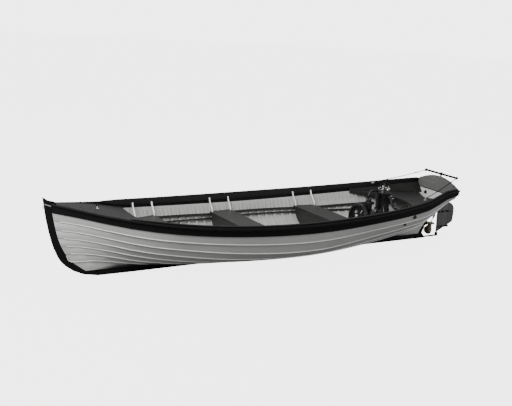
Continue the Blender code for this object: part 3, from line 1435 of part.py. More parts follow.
SHAFT_PIVOT = add_pivot("shaft_axis", shaft_point(PROP_X))
RUDDER_PIVOT = add_pivot("rudder_axis", (HEEL[0], 0.0, HEEL[1]))
build_hull()
build_shaft_and_propeller()
build_stern_bearing()
build_flywheel()
build_engine_bed()
build_engine()
build_carburettor()
build_water_pump()
build_exhaust()
build_heel_shoe()
build_gudgeons()
build_rudder()
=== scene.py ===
"""Looks for the clinker-built motor launch: paint and timber on the frame's pieces, and the small
work that the frame leaves out. Metres, +X toward the bow, +Y to port, +Z up, the waterline at 0."""

import math

import bmesh
import bpy
from bpy.props import FloatProperty, FloatVectorProperty, IntProperty, PointerProperty
from mathutils import Matrix, Vector
from mathutils.bvhtree import BVHTree


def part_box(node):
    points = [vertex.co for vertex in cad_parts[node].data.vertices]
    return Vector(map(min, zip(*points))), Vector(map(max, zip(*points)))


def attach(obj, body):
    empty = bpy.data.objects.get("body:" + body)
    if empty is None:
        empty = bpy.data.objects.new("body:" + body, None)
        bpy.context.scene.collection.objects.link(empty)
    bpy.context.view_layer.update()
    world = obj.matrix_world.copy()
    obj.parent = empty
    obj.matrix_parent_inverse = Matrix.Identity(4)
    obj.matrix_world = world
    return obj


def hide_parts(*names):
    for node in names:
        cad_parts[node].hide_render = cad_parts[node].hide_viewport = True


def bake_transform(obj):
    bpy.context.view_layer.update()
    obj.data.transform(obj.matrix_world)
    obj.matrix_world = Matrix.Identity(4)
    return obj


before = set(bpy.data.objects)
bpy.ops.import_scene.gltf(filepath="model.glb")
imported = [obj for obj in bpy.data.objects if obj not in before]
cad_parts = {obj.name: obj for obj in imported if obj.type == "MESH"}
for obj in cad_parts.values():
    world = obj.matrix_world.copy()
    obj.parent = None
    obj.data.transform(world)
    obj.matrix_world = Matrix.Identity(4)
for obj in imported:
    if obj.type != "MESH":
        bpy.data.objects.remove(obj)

bl_info = {
    "name": "Motor launch looks",
    "version": (1, 0, 0),
    "blender": (4, 5, 0),
    "location": "3D View > Sidebar > Launch",
    "description": "Dresses the packed motor launch: paint, timber, engine fittings, rigging and studio",
    "category": "Object",
}

UP = Vector((0.0, 0.0, 1.0))
TAGS = (("port", 1), ("starboard", -1))
MERGE = 0.00002             # points nearer to each other than this are made one
KEEL_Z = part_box("keel")[0].z
SHAFT_HUB = Vector((-2.393, 0.0, -0.046))
FLYWHEEL_HUB = Vector((-1.229, 0.0, 0.129))
SHAFT_WAY = (FLYWHEEL_HUB - SHAFT_HUB).normalized()
RUDDER_FOOT = Vector((-2.508, 0.0, -0.189))
RUDDER_WAY = Vector((0.05418, 0.0, 0.99853)).normalized()

# Planking: the laps' beads and rivets
LIGHT_PLANKS = ("garboard", "strake_2", "strake_3", "strake_4", "strake_5", "strake_6", "strake_7")
RIVET_RISE = 0.013          # how far above the lap's edge its rivets lie
RIVET_OUT = 0.004
GIRTH_CENTRE = 0.60         # height about which a plank's edges are sorted from keel to rail
SHORTEST_EDGE = 0.03        # along X; shorter edges are facets, not part of the lap's line
SHARPEST_FLAT = 0.5         # radians between faces under which an edge isn't a corner
EDGE_BAND = 0.06            # radians of girth that the lower edge's two corners share
POINT_PITCH = 0.05          # least distance along X between points kept on a lap's line
BEAD_STOP = 0.75            # share of the last run that a bead covers before the stem

# Thwarts, transom and deck
THWART_TOPS = {"thwart_1": 0.195, "thwart_2": 0.153, "thwart_3": 0.151}
PATCH_TOP = 0.356           # height of the pale patch low on the transom's inside
LEDGE_HALF = 0.318
SIDE_BOARD_AFT = -2.3545
SIDE_BOARD_END = ((0.239, 0.291), (0.249, 0.291), (0.339, 0.405), (0.329, 0.405))
EYE_PLATE = (-0.186, -0.152)
EYE_AT = -0.169
RING_X = 1.92
STEM_IRON = ((2.346, 0.487), (2.372, 0.495), (2.399, 0.503), (2.426, 0.511))
STEM_IRON_SECTION = ((-0.002, -0.0045), (0.003, -0.0045), (0.004, 0.0), (0.003, 0.0045), (-0.002, 0.0045))
BOW_EYE = Vector((2.4265, 0.0, 0.482))
EDGING_FROM, EDGING_LENGTH, EDGING_STEPS = 1.72, 0.59, 14
DECK_SCREWS = (1.56, 1.64, 1.72, 1.80, 1.88, 1.96, 2.04, 2.12, 2.20)

# Engine: places of its bolts and cups
CYLINDER_AT = Vector((-1.575, 0.0, 0.425))
HEAD_BOLTS, HEAD_BOLT_CIRCLE = 6, 0.062
BED_BOLTS = (-1.665, -1.60, -1.535, -1.47, -1.405, -1.34)
BED_BOLT_OUT, BED_TOP = 0.129, 0.0875
PLUG_AT = CYLINDER_AT + Vector((-0.034, 0.030, -0.002))
CUP_AT = CYLINDER_AT + Vector((0.040, 0.030, -0.002))
TIMER_LOOP = Vector((-1.392, 0.030, 0.372))
ROD_END = (-1.180, -0.115, 0.428)

# Turned profiles: distance along, radius
RING_BOLT = ((0.0, 0.016), (0.003, 0.016), (0.005, 0.008), (0.014, 0.0065), (0.018, 0.004))
SPARK_PLUG = ((0.0, 0.011), (0.010, 0.011), (0.012, 0.007), (0.032, 0.006), (0.034, 0.003), (0.044, 0.003))
PRIMING_CUP = ((0.0, 0.007), (0.012, 0.006), (0.018, 0.006), (0.024, 0.013), (0.046, 0.015), (0.050, 0.009))
GREASE_CUP = ((0.0, 0.006), (0.014, 0.005), (0.018, 0.013), (0.036, 0.014), (0.042, 0.008))
MIXER_CAP = ((0.0, 0.0335), (0.010, 0.034), (0.014, 0.030), (0.014, 0.012), (0.030, 0.010), (0.033, 0.006))
PUMP_CAP = ((0.0, 0.011), (0.016, 0.010), (0.020, 0.014), (0.034, 0.014), (0.040, 0.007))
ROD_GUIDE = ((0.0, 0.009), (0.030, 0.009), (0.034, 0.0055))
TIMER_DRUM = ((0.0, 0.030), (0.030, 0.030), (0.036, 0.022))
ROD_KNOB = ((-0.006, 0.002), (-0.004, 0.008), (0.004, 0.008), (0.006, 0.002))
WHEEL_CAP = ((-0.002, 0.019), (0.004, 0.019), (0.007, 0.015), (0.010, 0.006))
LINE_BARREL = ((-0.030, 0.003), (-0.026, 0.0065), (0.026, 0.0065), (0.030, 0.003))
EYE_POST = ((0.0, 0.0045), (0.012, 0.004))

# Tubes: corner radius, steps in a corner, tube's radius, sides, points
VALVE_TUBES = (
    (0.0, 1, 0.0048, 10, ((-1.448, 0.040, 0.190), (-1.448, 0.044, 0.405))),
    (0.0, 1, 0.0048, 10, ((-1.468, 0.040, 0.190), (-1.468, 0.044, 0.405))),
    (0.020, 4, 0.0075, 8, ((-1.458, 0.044, 0.404), (-1.458, 0.040, 0.448), (-1.545, 0.012, 0.448))),
)
INLET_TUBES = (
    (0.05, 6, 0.0135, 12, ((-1.510, -0.030, 0.400), (-1.420, -0.030, 0.415), (-1.375, -0.030, 0.350),
                           (-1.385, -0.030, 0.230), (-1.430, -0.030, 0.195))),
)
ROD_TUBES = (
    (0.02, 4, 0.0042, 8, ((-1.500, -0.060, 0.380), (-1.470, -0.115, 0.395), ROD_END)),
)
COPPER_PIPES = (
    (0.030, 4, 0.0065, 10, ((-1.500, 0.118, 0.140), (-1.500, 0.118, 0.200), (-1.515, 0.090, 0.235),
                            (-1.530, 0.062, 0.240))),
    (0.035, 4, 0.0045, 10, ((-1.697, 0.020, 0.262), (-1.690, 0.110, 0.262), (-1.660, 0.130, 0.180),
                            (-1.640, 0.135, 0.095))),
    (0.040, 4, 0.0085, 10, ((-1.480, 0.118, 0.110), (-1.450, 0.160, 0.112), (-1.473, 0.300, 0.128),
                            (-1.473, 0.492, 0.145))),
    (0.055, 6, 0.0048, 10, ((-1.452, 0.110, 0.110), (-1.440, 0.110, 0.210), (-1.340, 0.110, 0.226),
                            (-1.318, 0.110, 0.110))),
    (0.055, 6, 0.0048, 10, ((-1.426, 0.106, 0.110), (-1.414, 0.106, 0.184), (-1.366, 0.106, 0.200),
                            (-1.344, 0.106, 0.110))),
)

# Rudder and steering
STRAP_OUT = (0.0082, 0.0112)  # a strap's inner and outer face, from the blade's middle
YOKE_TIP = 0.017            # from the yoke's end to the middle of its knob
YOKE_KNOB = (-2.467, 0.564)
LINE_EYE = (-1.80, 0.452, 0.405)
LINE_SAG = Vector((0.0, 0.0, -0.012))
LINE_STEPS = 24
BARREL_SHARE = 0.16         # how far along the line its stretching barrel sits

# Where the camera stood, and its axes
CAMERA_PLACE = (4.73688, 6.93651, 2.34182)
CAMERA_AHEAD = (-0.534914, -0.812815, -0.230649)
CAMERA_UP = (-0.063462, -0.233564, 0.970268)
CAMERA_LENS = 57.617

# Light of the room, of the backdrop as the camera sees it, and what the floor adds to match it
ROOM_LIGHT = 0.50
BACKDROP = 4.3
FLOOR_LIFT = 4.0
FLOOR_TONE = 0.14
FLOOR_HALF = 45.0
FLOOR_DROP = 0.0008         # below the keel, so that the two faces never share a plane
# name, place, aimed at, size, power
LAMPS = (
    ("key", (6.8, 3.0, 5.6), (0.3, 0.0, 0.1), 3.5, 860.0),
    ("fill", (-4.5, 5.5, 3.0), (-1.0, 0.0, 0.1), 4.0, 120.0),
    ("top", (0.0, -3.5, 6.5), (0.0, 0.0, 0.0), 5.0, 300.0),
)


def colour(name, description, default):
    return FloatVectorProperty(name=name, description=description, subtype="COLOR", size=3, default=default,
                               min=0.0, max=1.0)


def length(name, description, default, low, high):
    return FloatProperty(name=name, description=description, default=default, min=low, max=high,
                         unit="LENGTH")


class LaunchPaint(bpy.types.PropertyGroup):
    """Colours of the launch's finishes."""
    planking: colour("Planking", "Paint on the strakes", (0.47, 0.47, 0.46))
    sheer: colour("Sheer", "Paint on the top strake and rails", (0.008, 0.008, 0.0085))
    inside: colour("Inside", "Paint on ribs and planking inside", (0.46, 0.46, 0.45))
    seats: colour("Seats", "Oiled boards of stern seat, rails and risers", (0.022, 0.0215, 0.021))
    thwarts: colour("Thwarts", "Oiled boards of the thwarts", (0.034, 0.033, 0.032))
    deck: colour("Deck", "Boards of the foredeck", (0.011, 0.0108, 0.0105))
    rudder: colour("Rudder", "Paint on rudder and transom", (0.12, 0.12, 0.12))
    engine: colour("Engine", "Enamel on the castings", (0.006, 0.006, 0.0065))


class LaunchSizes(bpy.types.PropertyGroup):
    """Sizes of the small work."""
    bead_radius: length("Lap bead", "Radius of the rounded edge along each lap", 0.0042, 0.001, 0.006)
    rivet_pitch: length("Rivet pitch", "Distance between rivets along a lap", 0.105, 0.03, 0.3)
    rivet_radius: length("Rivet radius", "Radius of a rivet's head", 0.0042, 0.002, 0.01)
    line_radius: length("Tiller line", "Radius of the steering lines", 0.0046, 0.001, 0.008)
    board_width: length("Seat board", "Width of a board of the stern seat", 0.075, 0.03, 0.2)
    seed: IntProperty(name="Seed", description="Fixes the variation between repeats", default=7, min=0)


def paint():
    return bpy.context.scene.launch_paint


def sizes():
    return bpy.context.scene.launch_sizes


# Shader node groups

def new_group(name, inputs, outputs):
    """A shader node group with typed sockets, and its two end nodes."""
    group = bpy.data.node_groups.new(name, "ShaderNodeTree")
    for label, kind, default in inputs:
        socket = group.interface.new_socket(name=label, in_out="INPUT", socket_type=kind)
        socket.default_value = default
    for label, kind in outputs:
        group.interface.new_socket(name=label, in_out="OUTPUT", socket_type=kind)
    start = group.nodes.new("NodeGroupInput")
    end = group.nodes.new("NodeGroupOutput")
    return group, start, end


def noise(group, scale, detail, vector, distortion=0.0):
    node = group.nodes.new("ShaderNodeTexNoise")
    node.inputs["Detail"].default_value = detail
    node.inputs["Distortion"].default_value = distortion
    if isinstance(scale, (int, float)):
        node.inputs["Scale"].default_value = scale
    else:
        group.links.new(scale, node.inputs["Scale"])
    group.links.new(vector, node.inputs["Vector"])
    return node.outputs["Fac"]


def math_node(group, operation, *values, clamp=False):
    node = group.nodes.new("ShaderNodeMath")
    node.operation = operation
    node.use_clamp = clamp
    for socket, value in zip(node.inputs, values):
        if isinstance(value, (int, float)):
            socket.default_value = value
        else:
            group.links.new(value, socket)
    return node.outputs[0]


def spread(group, value, low, high, to_low=0.0, to_high=1.0):
    node = group.nodes.new("ShaderNodeMapRange")
    node.clamp = True
    group.links.new(value, node.inputs["Value"])
    for label, number in (("From Min", low), ("From Max", high), ("To Min", to_low), ("To Max", to_high)):
        if isinstance(number, (int, float)):
            node.inputs[label].default_value = number
        else:
            group.links.new(number, node.inputs[label])
    return node.outputs["Result"]


def mix_colour(group, factor, a, b, blend="MIX"):
    node = group.nodes.new("ShaderNodeMix")
    node.data_type = "RGBA"
    node.blend_type = blend
    for socket, value in ((node.inputs[0], factor), (node.inputs[6], a), (node.inputs[7], b)):
        if isinstance(value, (int, float)):
            socket.default_value = value
        elif isinstance(value, tuple):
            socket.default_value = value
        else:
            group.links.new(value, socket)
    return node.outputs[2]


def stretched(group, vector, factors):
    node = group.nodes.new("ShaderNodeMapping")
    node.inputs["Scale"].default_value = factors
    group.links.new(vector, node.inputs["Vector"])
    return node.outputs["Vector"]


def axes(group, vector):
    node = group.nodes.new("ShaderNodeSeparateXYZ")
    group.links.new(vector, node.inputs[0])
    return node.outputs["X"], node.outputs["Y"], node.outputs["Z"]


def toned(group, plain, tone):
    """A colour made lighter or darker by a number."""
    node = group.nodes.new("ShaderNodeVectorMath")
    node.operation = "SCALE"
    group.links.new(plain, node.inputs[0])
    group.links.new(tone, node.inputs["Scale"])
    return node.outputs[0]


FINISH_OUTPUTS = (("Color", "NodeSocketColor"), ("Roughness", "NodeSocketFloat"),
                  ("Height", "NodeSocketFloat"))
SHADE_Y_SHARE = 0.5              # painted shade that darkens the bottom: how much Y counts as height
SHADE_ENDS_AT = 1.25         # from how far fore and aft X counts too, and how much
SHADE_ENDS_SHARE = 0.22
SHADED_TONE = 0.07                # what is left of the tone at the bottom of the painted shade


def build_brushed_paint():
    """Brushed gloss paint: strokes along X, mottled tone, scuffs and grime in the wear colour, and painted
    shade that darkens it towards the bottom, less so out at the sides and towards the ends.
    """
    group, start, end = new_group(
        "brushed_paint",
        (("Vector", "NodeSocketVector", (0, 0, 0)), ("Colour", "NodeSocketColor", (0.5, 0.5, 0.5, 1)),
         ("Wear", "NodeSocketColor", (0.2, 0.2, 0.2, 1)), ("Amount", "NodeSocketFloat", 0.3),
         ("Gloss", "NodeSocketFloat", 0.35), ("Shade Low", "NodeSocketFloat", -9.0),
         ("Shade High", "NodeSocketFloat", -8.0)),
        FINISH_OUTPUTS)
    vector = start.outputs["Vector"]
    strokes = noise(group, 9.0, 6.0, stretched(group, vector, (1.0, 14.0, 26.0)))
    patches = noise(group, 2.3, 5.0, vector, 0.4)
    specks = noise(group, 75.0, 3.0, vector)
    x, y, z = axes(group, vector)
    beside = math_node(group, "MULTIPLY", math_node(group, "ABSOLUTE", y), SHADE_Y_SHARE)
    toward_end = math_node(group, "SUBTRACT", math_node(group, "ABSOLUTE", x), SHADE_ENDS_AT)
    toward_end = math_node(group, "MULTIPLY", math_node(group, "MAXIMUM", toward_end, 0.0), SHADE_ENDS_SHARE)
    level = math_node(group, "MULTIPLY_ADD", patches, 0.03, z)
    level = math_node(group, "ADD", math_node(group, "ADD", level, beside), toward_end)
    tone = math_node(group, "MULTIPLY_ADD", strokes, 0.16, 0.92)
    tone = math_node(group, "MULTIPLY", tone, spread(group, patches, 0.3, 0.7, 0.93, 1.05))
    # painted shade: the tone darkens towards the bottom between the two given heights
    painted_shade = spread(group, level, start.outputs["Shade Low"], start.outputs["Shade High"], SHADED_TONE, 1.0)
    tone = math_node(group, "MULTIPLY", tone, painted_shade)
    scuff = spread(group, patches, 0.45, 0.62)
    scuff = math_node(group, "MULTIPLY", spread(group, specks, 0.60, 0.72), scuff)
    scuff = math_node(group, "MULTIPLY", scuff, start.outputs["Amount"])
    mixed = mix_colour(group, scuff, toned(group, start.outputs["Colour"], tone), start.outputs["Wear"])
    group.links.new(mixed, end.inputs["Color"])
    rough = math_node(group, "MULTIPLY_ADD", strokes, 0.16, start.outputs["Gloss"])
    rough = math_node(group, "ADD", rough, math_node(group, "MULTIPLY", scuff, 0.3), clamp=True)
    group.links.new(rough, end.inputs["Roughness"])
    group.links.new(math_node(group, "MULTIPLY_ADD", specks, 0.25, strokes), end.inputs["Height"])
    return group


def build_board_grain():
    """Oiled boards: grain drawn along X, seams at a pitch across it, each board its own tone."""
    group, start, end = new_group(
        "board_grain",
        (("Vector", "NodeSocketVector", (0, 0, 0)), ("Colour", "NodeSocketColor", (0.1, 0.1, 0.1, 1)),
         ("Dark", "NodeSocketColor", (0.02, 0.02, 0.02, 1)), ("Board", "NodeSocketFloat", 0.08),
         ("Seam", "NodeSocketFloat", 0.03), ("Contrast", "NodeSocketFloat", 0.5)),
        FINISH_OUTPUTS)
    vector = start.outputs["Vector"]
    fibres = noise(group, 16.0, 7.0, stretched(group, vector, (0.7, 22.0, 22.0)), 0.5)
    rings = noise(group, 5.0, 4.0, stretched(group, vector, (0.5, 9.0, 9.0)), 1.6)
    across = math_node(group, "DIVIDE", axes(group, vector)[1], start.outputs["Board"])
    place = math_node(group, "FRACT", across)
    edge = math_node(group, "MINIMUM", place, math_node(group, "SUBTRACT", 1.0, place))
    seam_end = math_node(group, "MULTIPLY", start.outputs["Seam"], 1.8)
    seam = spread(group, edge, start.outputs["Seam"], seam_end)
    number = group.nodes.new("ShaderNodeTexWhiteNoise")
    number.noise_dimensions = "1D"
    group.links.new(math_node(group, "FLOOR", across), number.inputs["W"])
    tone = math_node(group, "MULTIPLY_ADD", number.outputs["Value"], 0.28, 0.86)
    grain = math_node(group, "MULTIPLY_ADD", rings, 0.6, math_node(group, "MULTIPLY", fibres, 0.5))
    grain = spread(group, grain, 0.38, 0.75)
    grain = math_node(group, "MULTIPLY", grain, start.outputs["Contrast"])
    colour = mix_colour(group, grain, start.outputs["Colour"], start.outputs["Dark"])
    group.links.new(mix_colour(group, seam, start.outputs["Dark"], toned(group, colour, tone)),
                    end.inputs["Color"])
    group.links.new(math_node(group, "MULTIPLY_ADD", fibres, 0.25, 0.36), end.inputs["Roughness"])
    height = math_node(group, "MULTIPLY_ADD", seam, 1.2, math_node(group, "MULTIPLY", fibres, 0.35))
    group.links.new(height, end.inputs["Height"])
    return group


def build_cast_skin():
    """Castings and forged iron: a sandy skin, oil stains, and bright rubbed spots."""
    group, start, end = new_group(
        "cast_skin",
        (("Vector", "NodeSocketVector", (0, 0, 0)), ("Colour", "NodeSocketColor", (0.05, 0.05, 0.05, 1)),
         ("Rubbed", "NodeSocketColor", (0.4, 0.4, 0.4, 1)), ("Amount", "NodeSocketFloat", 0.3),
         ("Gloss", "NodeSocketFloat", 0.35)),
        FINISH_OUTPUTS)
    vector = start.outputs["Vector"]
    sand = noise(group, 240.0, 4.0, vector)
    stains = noise(group, 14.0, 6.0, vector, 0.6)
    rubbed = math_node(group, "MULTIPLY", spread(group, stains, 0.58, 0.70), spread(group, sand, 0.35, 0.6))
    rubbed = math_node(group, "MULTIPLY", rubbed, start.outputs["Amount"])
    group.links.new(mix_colour(group, rubbed, start.outputs["Colour"], start.outputs["Rubbed"]),
                    end.inputs["Color"])
    rough = math_node(group, "MULTIPLY_ADD", stains, 0.3, start.outputs["Gloss"])
    rough = math_node(group, "SUBTRACT", rough, math_node(group, "MULTIPLY", rubbed, 0.1), clamp=True)
    group.links.new(rough, end.inputs["Roughness"])
    group.links.new(math_node(group, "MULTIPLY_ADD", stains, 0.5, sand), end.inputs["Height"])
    return group


GROUPS = {}


def shared(name):
    if name not in GROUPS:
        makers = {"brushed_paint": build_brushed_paint, "board_grain": build_board_grain,
                  "cast_skin": build_cast_skin}
        GROUPS[name] = makers[name]()
    return GROUPS[name]


def grouped_material(name, group_name, values, metallic=0.0, coat=0.0, bump=0.1, distance=0.001, turn=None,
                     shine=0.5):
    """A Principled material fed by a shared group; turn swaps the grain's axis."""
    found = bpy.data.materials.get(name)
    if found:
        return found
    made = bpy.data.materials.new(name)
    made.use_nodes = True
    tree = made.node_tree
    shader = tree.nodes["Principled BSDF"]
    shader.inputs["Specular IOR Level"].default_value = shine
    shader.inputs["Metallic"].default_value = metallic
    shader.inputs["Coat Weight"].default_value = coat
    place = tree.nodes.new("ShaderNodeTexCoord").outputs["Object"]
    if turn:
        mapping = tree.nodes.new("ShaderNodeMapping")
        mapping.inputs["Rotation"].default_value = turn
        tree.links.new(place, mapping.inputs["Vector"])
        place = mapping.outputs["Vector"]
    use = tree.nodes.new("ShaderNodeGroup")
    use.node_tree = shared(group_name)
    tree.links.new(place, use.inputs["Vector"])
    for label, value in values.items():
        use.inputs[label].default_value = (*value, 1.0) if isinstance(value, (tuple, list)) else value
    tree.links.new(use.outputs["Color"], shader.inputs["Base Color"])
    tree.links.new(use.outputs["Roughness"], shader.inputs["Roughness"])
    relief = tree.nodes.new("ShaderNodeBump")
    relief.inputs["Strength"].default_value = bump
    relief.inputs["Distance"].default_value = distance
    tree.links.new(use.outputs["Height"], relief.inputs["Height"])
    tree.links.new(relief.outputs["Normal"], shader.inputs["Normal"])
    return made


def finish_named(name):
    """The finish of each kind of surface."""
    p = paint()
    # colour, worn colour, how worn, roughness, shine, coat, bump, painted shade (darker towards the bottom)
    # from and to (heights)
    unshaded = (-9.0, -8.0)
    paints = {
        # The planking, lap beads and inside darken towards the bottom between the last two heights: painted
        # shade.
        "planking_paint": (p.planking, (0.16, 0.16, 0.15), 0.30, 0.36, 0.5, 0.10, 0.12, (0.0, 0.045)),
        # the lap beads are pale as a painted highlight where light catches each lap's edge
        "lap_highlight_paint": ((0.90, 0.90, 0.89), (0.45, 0.45, 0.44), 0.4, 0.30, 0.5, 0.15, 0.08, (0.0, 0.035)),
        "black_gloss": (p.sheer, (0.020, 0.020, 0.020), 0.45, 0.42, 0.10, 0.0, 0.15, unshaded),
        "inside_paint": (p.inside, (0.14, 0.13, 0.12), 0.5, 0.5, 0.4, 0.0, 0.12, (-0.12, -0.02)),
        "transom_patch": ((0.66, 0.66, 0.65), (0.25, 0.25, 0.25), 0.5, 0.45, 0.4, 0.0, 0.15, unshaded),
        "transom_mottle": ((0.115, 0.115, 0.112), (0.30, 0.30, 0.30), 1.0, 0.5, 0.3, 0.0, 0.3, unshaded),
    }
    # colour, dark grain, board width, seam, contrast, shine, bump, turn of the grain
    dark = (0.006, 0.006, 0.006)
    one_board, no_seam = 4.0, 0.0001
    quarter = math.pi / 2
    boards = {
        "rudder_grey": (p.rudder, (0.06, 0.06, 0.06), 0.095, 0.018, 0.45, 0.3, 0.15, (0.0, quarter, quarter)),
        "rudder_boards": (p.rudder, (0.05, 0.05, 0.05), 0.095, 0.02, 0.5, 0.3, 0.2, (quarter, 0.0, quarter)),
        "seat_boards": (p.seats, dark, sizes().board_width, 0.022, 0.6, 0.22, 0.25, None),
        "thwart_wood": (p.thwarts, dark, one_board, no_seam, 0.6, 0.25, 0.2, (0.0, 0.0, quarter)),
        "rail_wood": (p.seats, dark, one_board, no_seam, 0.6, 0.15, 0.2, None),
        "deck_boards": (p.deck, dark, 0.060, 0.03, 0.55, 0.18, 0.25, None),
        "floor_paint": ((0.33, 0.33, 0.31), (0.13, 0.125, 0.12), one_board, no_seam, 0.5, 0.3, 0.2, None),
        "line_hemp": ((0.012, 0.012, 0.011), dark, one_board, no_seam, 0.6, 0.1, 0.3, None),
    }
    # colour, rubbed colour, how rubbed, roughness, metallic, shine, bump
    metals = {
        "engine_enamel": (p.engine, (0.07, 0.07, 0.07), 0.55, 0.24, 0.0, 0.35, 0.2),
        "hot_iron": ((0.012, 0.012, 0.0115), (0.14, 0.14, 0.135), 0.6, 0.20, 0.4, 0.4, 0.15),
        "outlet_iron": ((0.05, 0.05, 0.05), (0.015, 0.015, 0.015), 0.8, 0.35, 0.3, 0.3, 0.2),
        "bare_iron": ((0.010, 0.010, 0.010), (0.05, 0.05, 0.05), 0.6, 0.35, 0.2, 0.15, 0.2),
        "bright_iron": ((0.60, 0.60, 0.59), (0.20, 0.20, 0.20), 0.6, 0.20, 0.8, 0.5, 0.1),
        "galvanised": ((0.86, 0.86, 0.86), (0.45, 0.45, 0.45), 0.5, 0.32, 0.2, 0.5, 0.1),
        "bronze": ((0.010, 0.0098, 0.0094), (0.06, 0.058, 0.055), 0.6, 0.30, 0.4, 0.4, 0.1),
        "copper": ((0.16, 0.15, 0.14), (0.50, 0.48, 0.45), 0.6, 0.18, 1.0, 0.5, 0.1),
        "bright_brass": ((0.86, 0.85, 0.82), (0.55, 0.53, 0.50), 0.5, 0.12, 0.9, 0.5, 0.06),
        "dull_black": ((0.010, 0.010, 0.010), (0.03, 0.03, 0.03), 0.4, 0.45, 0.0, 0.15, 0.2),
    }
    if name in paints:
        colour, worn, amount, rough, shine, coat, bump, painted_shade = paints[name]
        return grouped_material(name, "brushed_paint", {
            "Colour": tuple(colour), "Wear": worn, "Amount": amount, "Gloss": rough,
            "Shade Low": painted_shade[0], "Shade High": painted_shade[1]}, coat=coat, bump=bump, shine=shine)
    if name in boards:
        colour, dark, width, seam, contrast, shine, bump, turn = boards[name]
        return grouped_material(name, "board_grain", {
            "Colour": tuple(colour), "Dark": dark, "Board": width, "Seam": seam, "Contrast": contrast},
            bump=bump, turn=turn, shine=shine)
    colour, rubbed, amount, rough, metallic, shine, bump = metals[name]
    return grouped_material(name, "cast_skin", {
        "Colour": tuple(colour), "Rubbed": rubbed, "Amount": amount, "Gloss": rough},
        metallic=metallic, bump=bump, distance=0.0005, shine=shine)


# Mesh helpers

def new_piece(name, bm, finish, angle=35):
    """A bmesh as a piece at the origin, faces outward, smooth below the angle."""
    bmesh.ops.recalc_face_normals(bm, faces=bm.faces)
    mesh = bpy.data.meshes.new(name)
    bm.to_mesh(mesh)
    bm.free()
    mesh.shade_smooth()
    mesh.set_sharp_from_angle(angle=math.radians(angle))
    piece = bpy.data.objects.new(name, mesh)
    piece.data.materials.append(finish_named(finish))
    bpy.context.scene.collection.objects.link(piece)
    return piece


def settle(piece, body, slot, *nodes):
    """Ride the piece on its body and hide the nodes it stands for; the slot argument is not used."""
    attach(piece, body)
    if nodes:
        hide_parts(*nodes)
    return piece


def fitting(name, bm, finish, slot, angle=35, body="hull"):
    """A new piece that rides on its body; the slot argument is not used."""
    return settle(new_piece(name, bm, finish, angle), body, slot)


def modified(piece, kind, **values):
    """Apply one modifier and leave plain mesh."""
    step = piece.modifiers.new(kind.lower(), kind)
    for label, value in values.items():
        setattr(step, label, value)
    bpy.context.view_layer.update()
    graph = bpy.context.evaluated_depsgraph_get()
    made = bpy.data.meshes.new_from_object(piece.evaluated_get(graph))
    piece.modifiers.clear()
    old = piece.data
    piece.data = made
    bpy.data.meshes.remove(old)
    return piece


def node_copy(node, name, finish, angle=35, bevel=0.0):
    """A merged, smooth copy of a frame node's mesh, its edges eased."""
    bm = bmesh.new()
    bm.from_mesh(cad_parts[node].data)
    bmesh.ops.remove_doubles(bm, verts=bm.verts, dist=MERGE)
    bmesh.ops.dissolve_degenerate(bm, edges=bm.edges, dist=MERGE)
    bmesh.ops.dissolve_limit(bm, angle_limit=math.radians(0.5), verts=bm.verts, edges=bm.edges)
    piece = new_piece(name, bm, finish, angle)
    if bevel:
        modified(piece, "BEVEL", width=bevel, segments=2, limit_method="ANGLE",
                 angle_limit=math.radians(40), harden_normals=False)
        piece.data.shade_smooth()
        piece.data.set_sharp_from_angle(angle=math.radians(angle))
    return piece


def dressed(node, name, finish, slot, angle=35, bevel=0.0, body="hull"):
    """A finished copy of a frame node, which it stands for."""
    return settle(node_copy(node, name, finish, angle, bevel), body, slot, node)


def ring_at(centre, across, up, count):
    """Places evenly round a circle, whose two half axes are given."""
    return [centre + across * math.cos(math.tau * k / count) + up * math.sin(math.tau * k / count)
            for k in range(count)]


def joined_rings(bm, low, high):
    """Faces between two rings of points."""
    count = len(low)
    for k in range(count):
        bm.faces.new((low[k], low[(k + 1) % count], high[(k + 1) % count], high[k]))


def rings_into(bm, rings):
    """A closed body through rings of places."""
    rows = [[bm.verts.new(p) for p in ring] for ring in rings]
    for low, high in zip(rows, rows[1:]):
        joined_rings(bm, low, high)
    bm.faces.new(rows[0])
    bm.faces.new(rows[-1])


def turned_into(bm, profile, start, direction, segments=20):
    """A profile of (distance along, radius) turned about a line."""
    turn = Vector(direction).normalized().to_track_quat("Z", "Y").to_matrix()
    rings = []
    for along, radius in profile:
        rings.append(ring_at(Vector(start) + turn @ Vector((0.0, 0.0, along)),
                             turn @ Vector((radius, 0.0, 0.0)), turn @ Vector((0.0, radius, 0.0)), segments))
    rings_into(bm, rings)


def rounded(points, radius, steps=4):
    """A path whose inner corners are rounded."""
    path = [Vector(p) for p in points]
    out = [path[0]]
    for back, here, ahead in zip(path, path[1:], path[2:]):
        a = (back - here)
        b = (ahead - here)
        cut = min(radius, a.length * 0.45, b.length * 0.45)
        first = here + a.normalized() * cut
        last = here + b.normalized() * cut
        for i in range(steps + 1):
            t = i / steps
            out.append(first * (1 - t) ** 2 + here * 2 * t * (1 - t) + last * t * t)
    out.append(path[-1])
    return out


def tube_into(bm, points, radius, segments=10):
    """A round tube along a path, its ring carried without twist."""
    path = [Vector(p) for p in points]
    side = None
    rings = []
    for i, here in enumerate(path):
        back = (here - path[i - 1]).normalized() if i else None
        ahead = (path[i + 1] - here).normalized() if i < len(path) - 1 else None
        run = ((back or ahead) + (ahead or back)).normalized()
        side = run.orthogonal().normalized() if side is None else (side - run * side.dot(run)).normalized()
        rings.append(ring_at(here, side * radius, run.cross(side) * radius, segments))
    rings_into(bm, rings)


def tubes_into(bm, table):
    """Tubes with rounded corners, from a table of them."""
    for corner, steps, radius, sides, points in table:
        tube_into(bm, rounded(points, corner, steps), radius, sides)


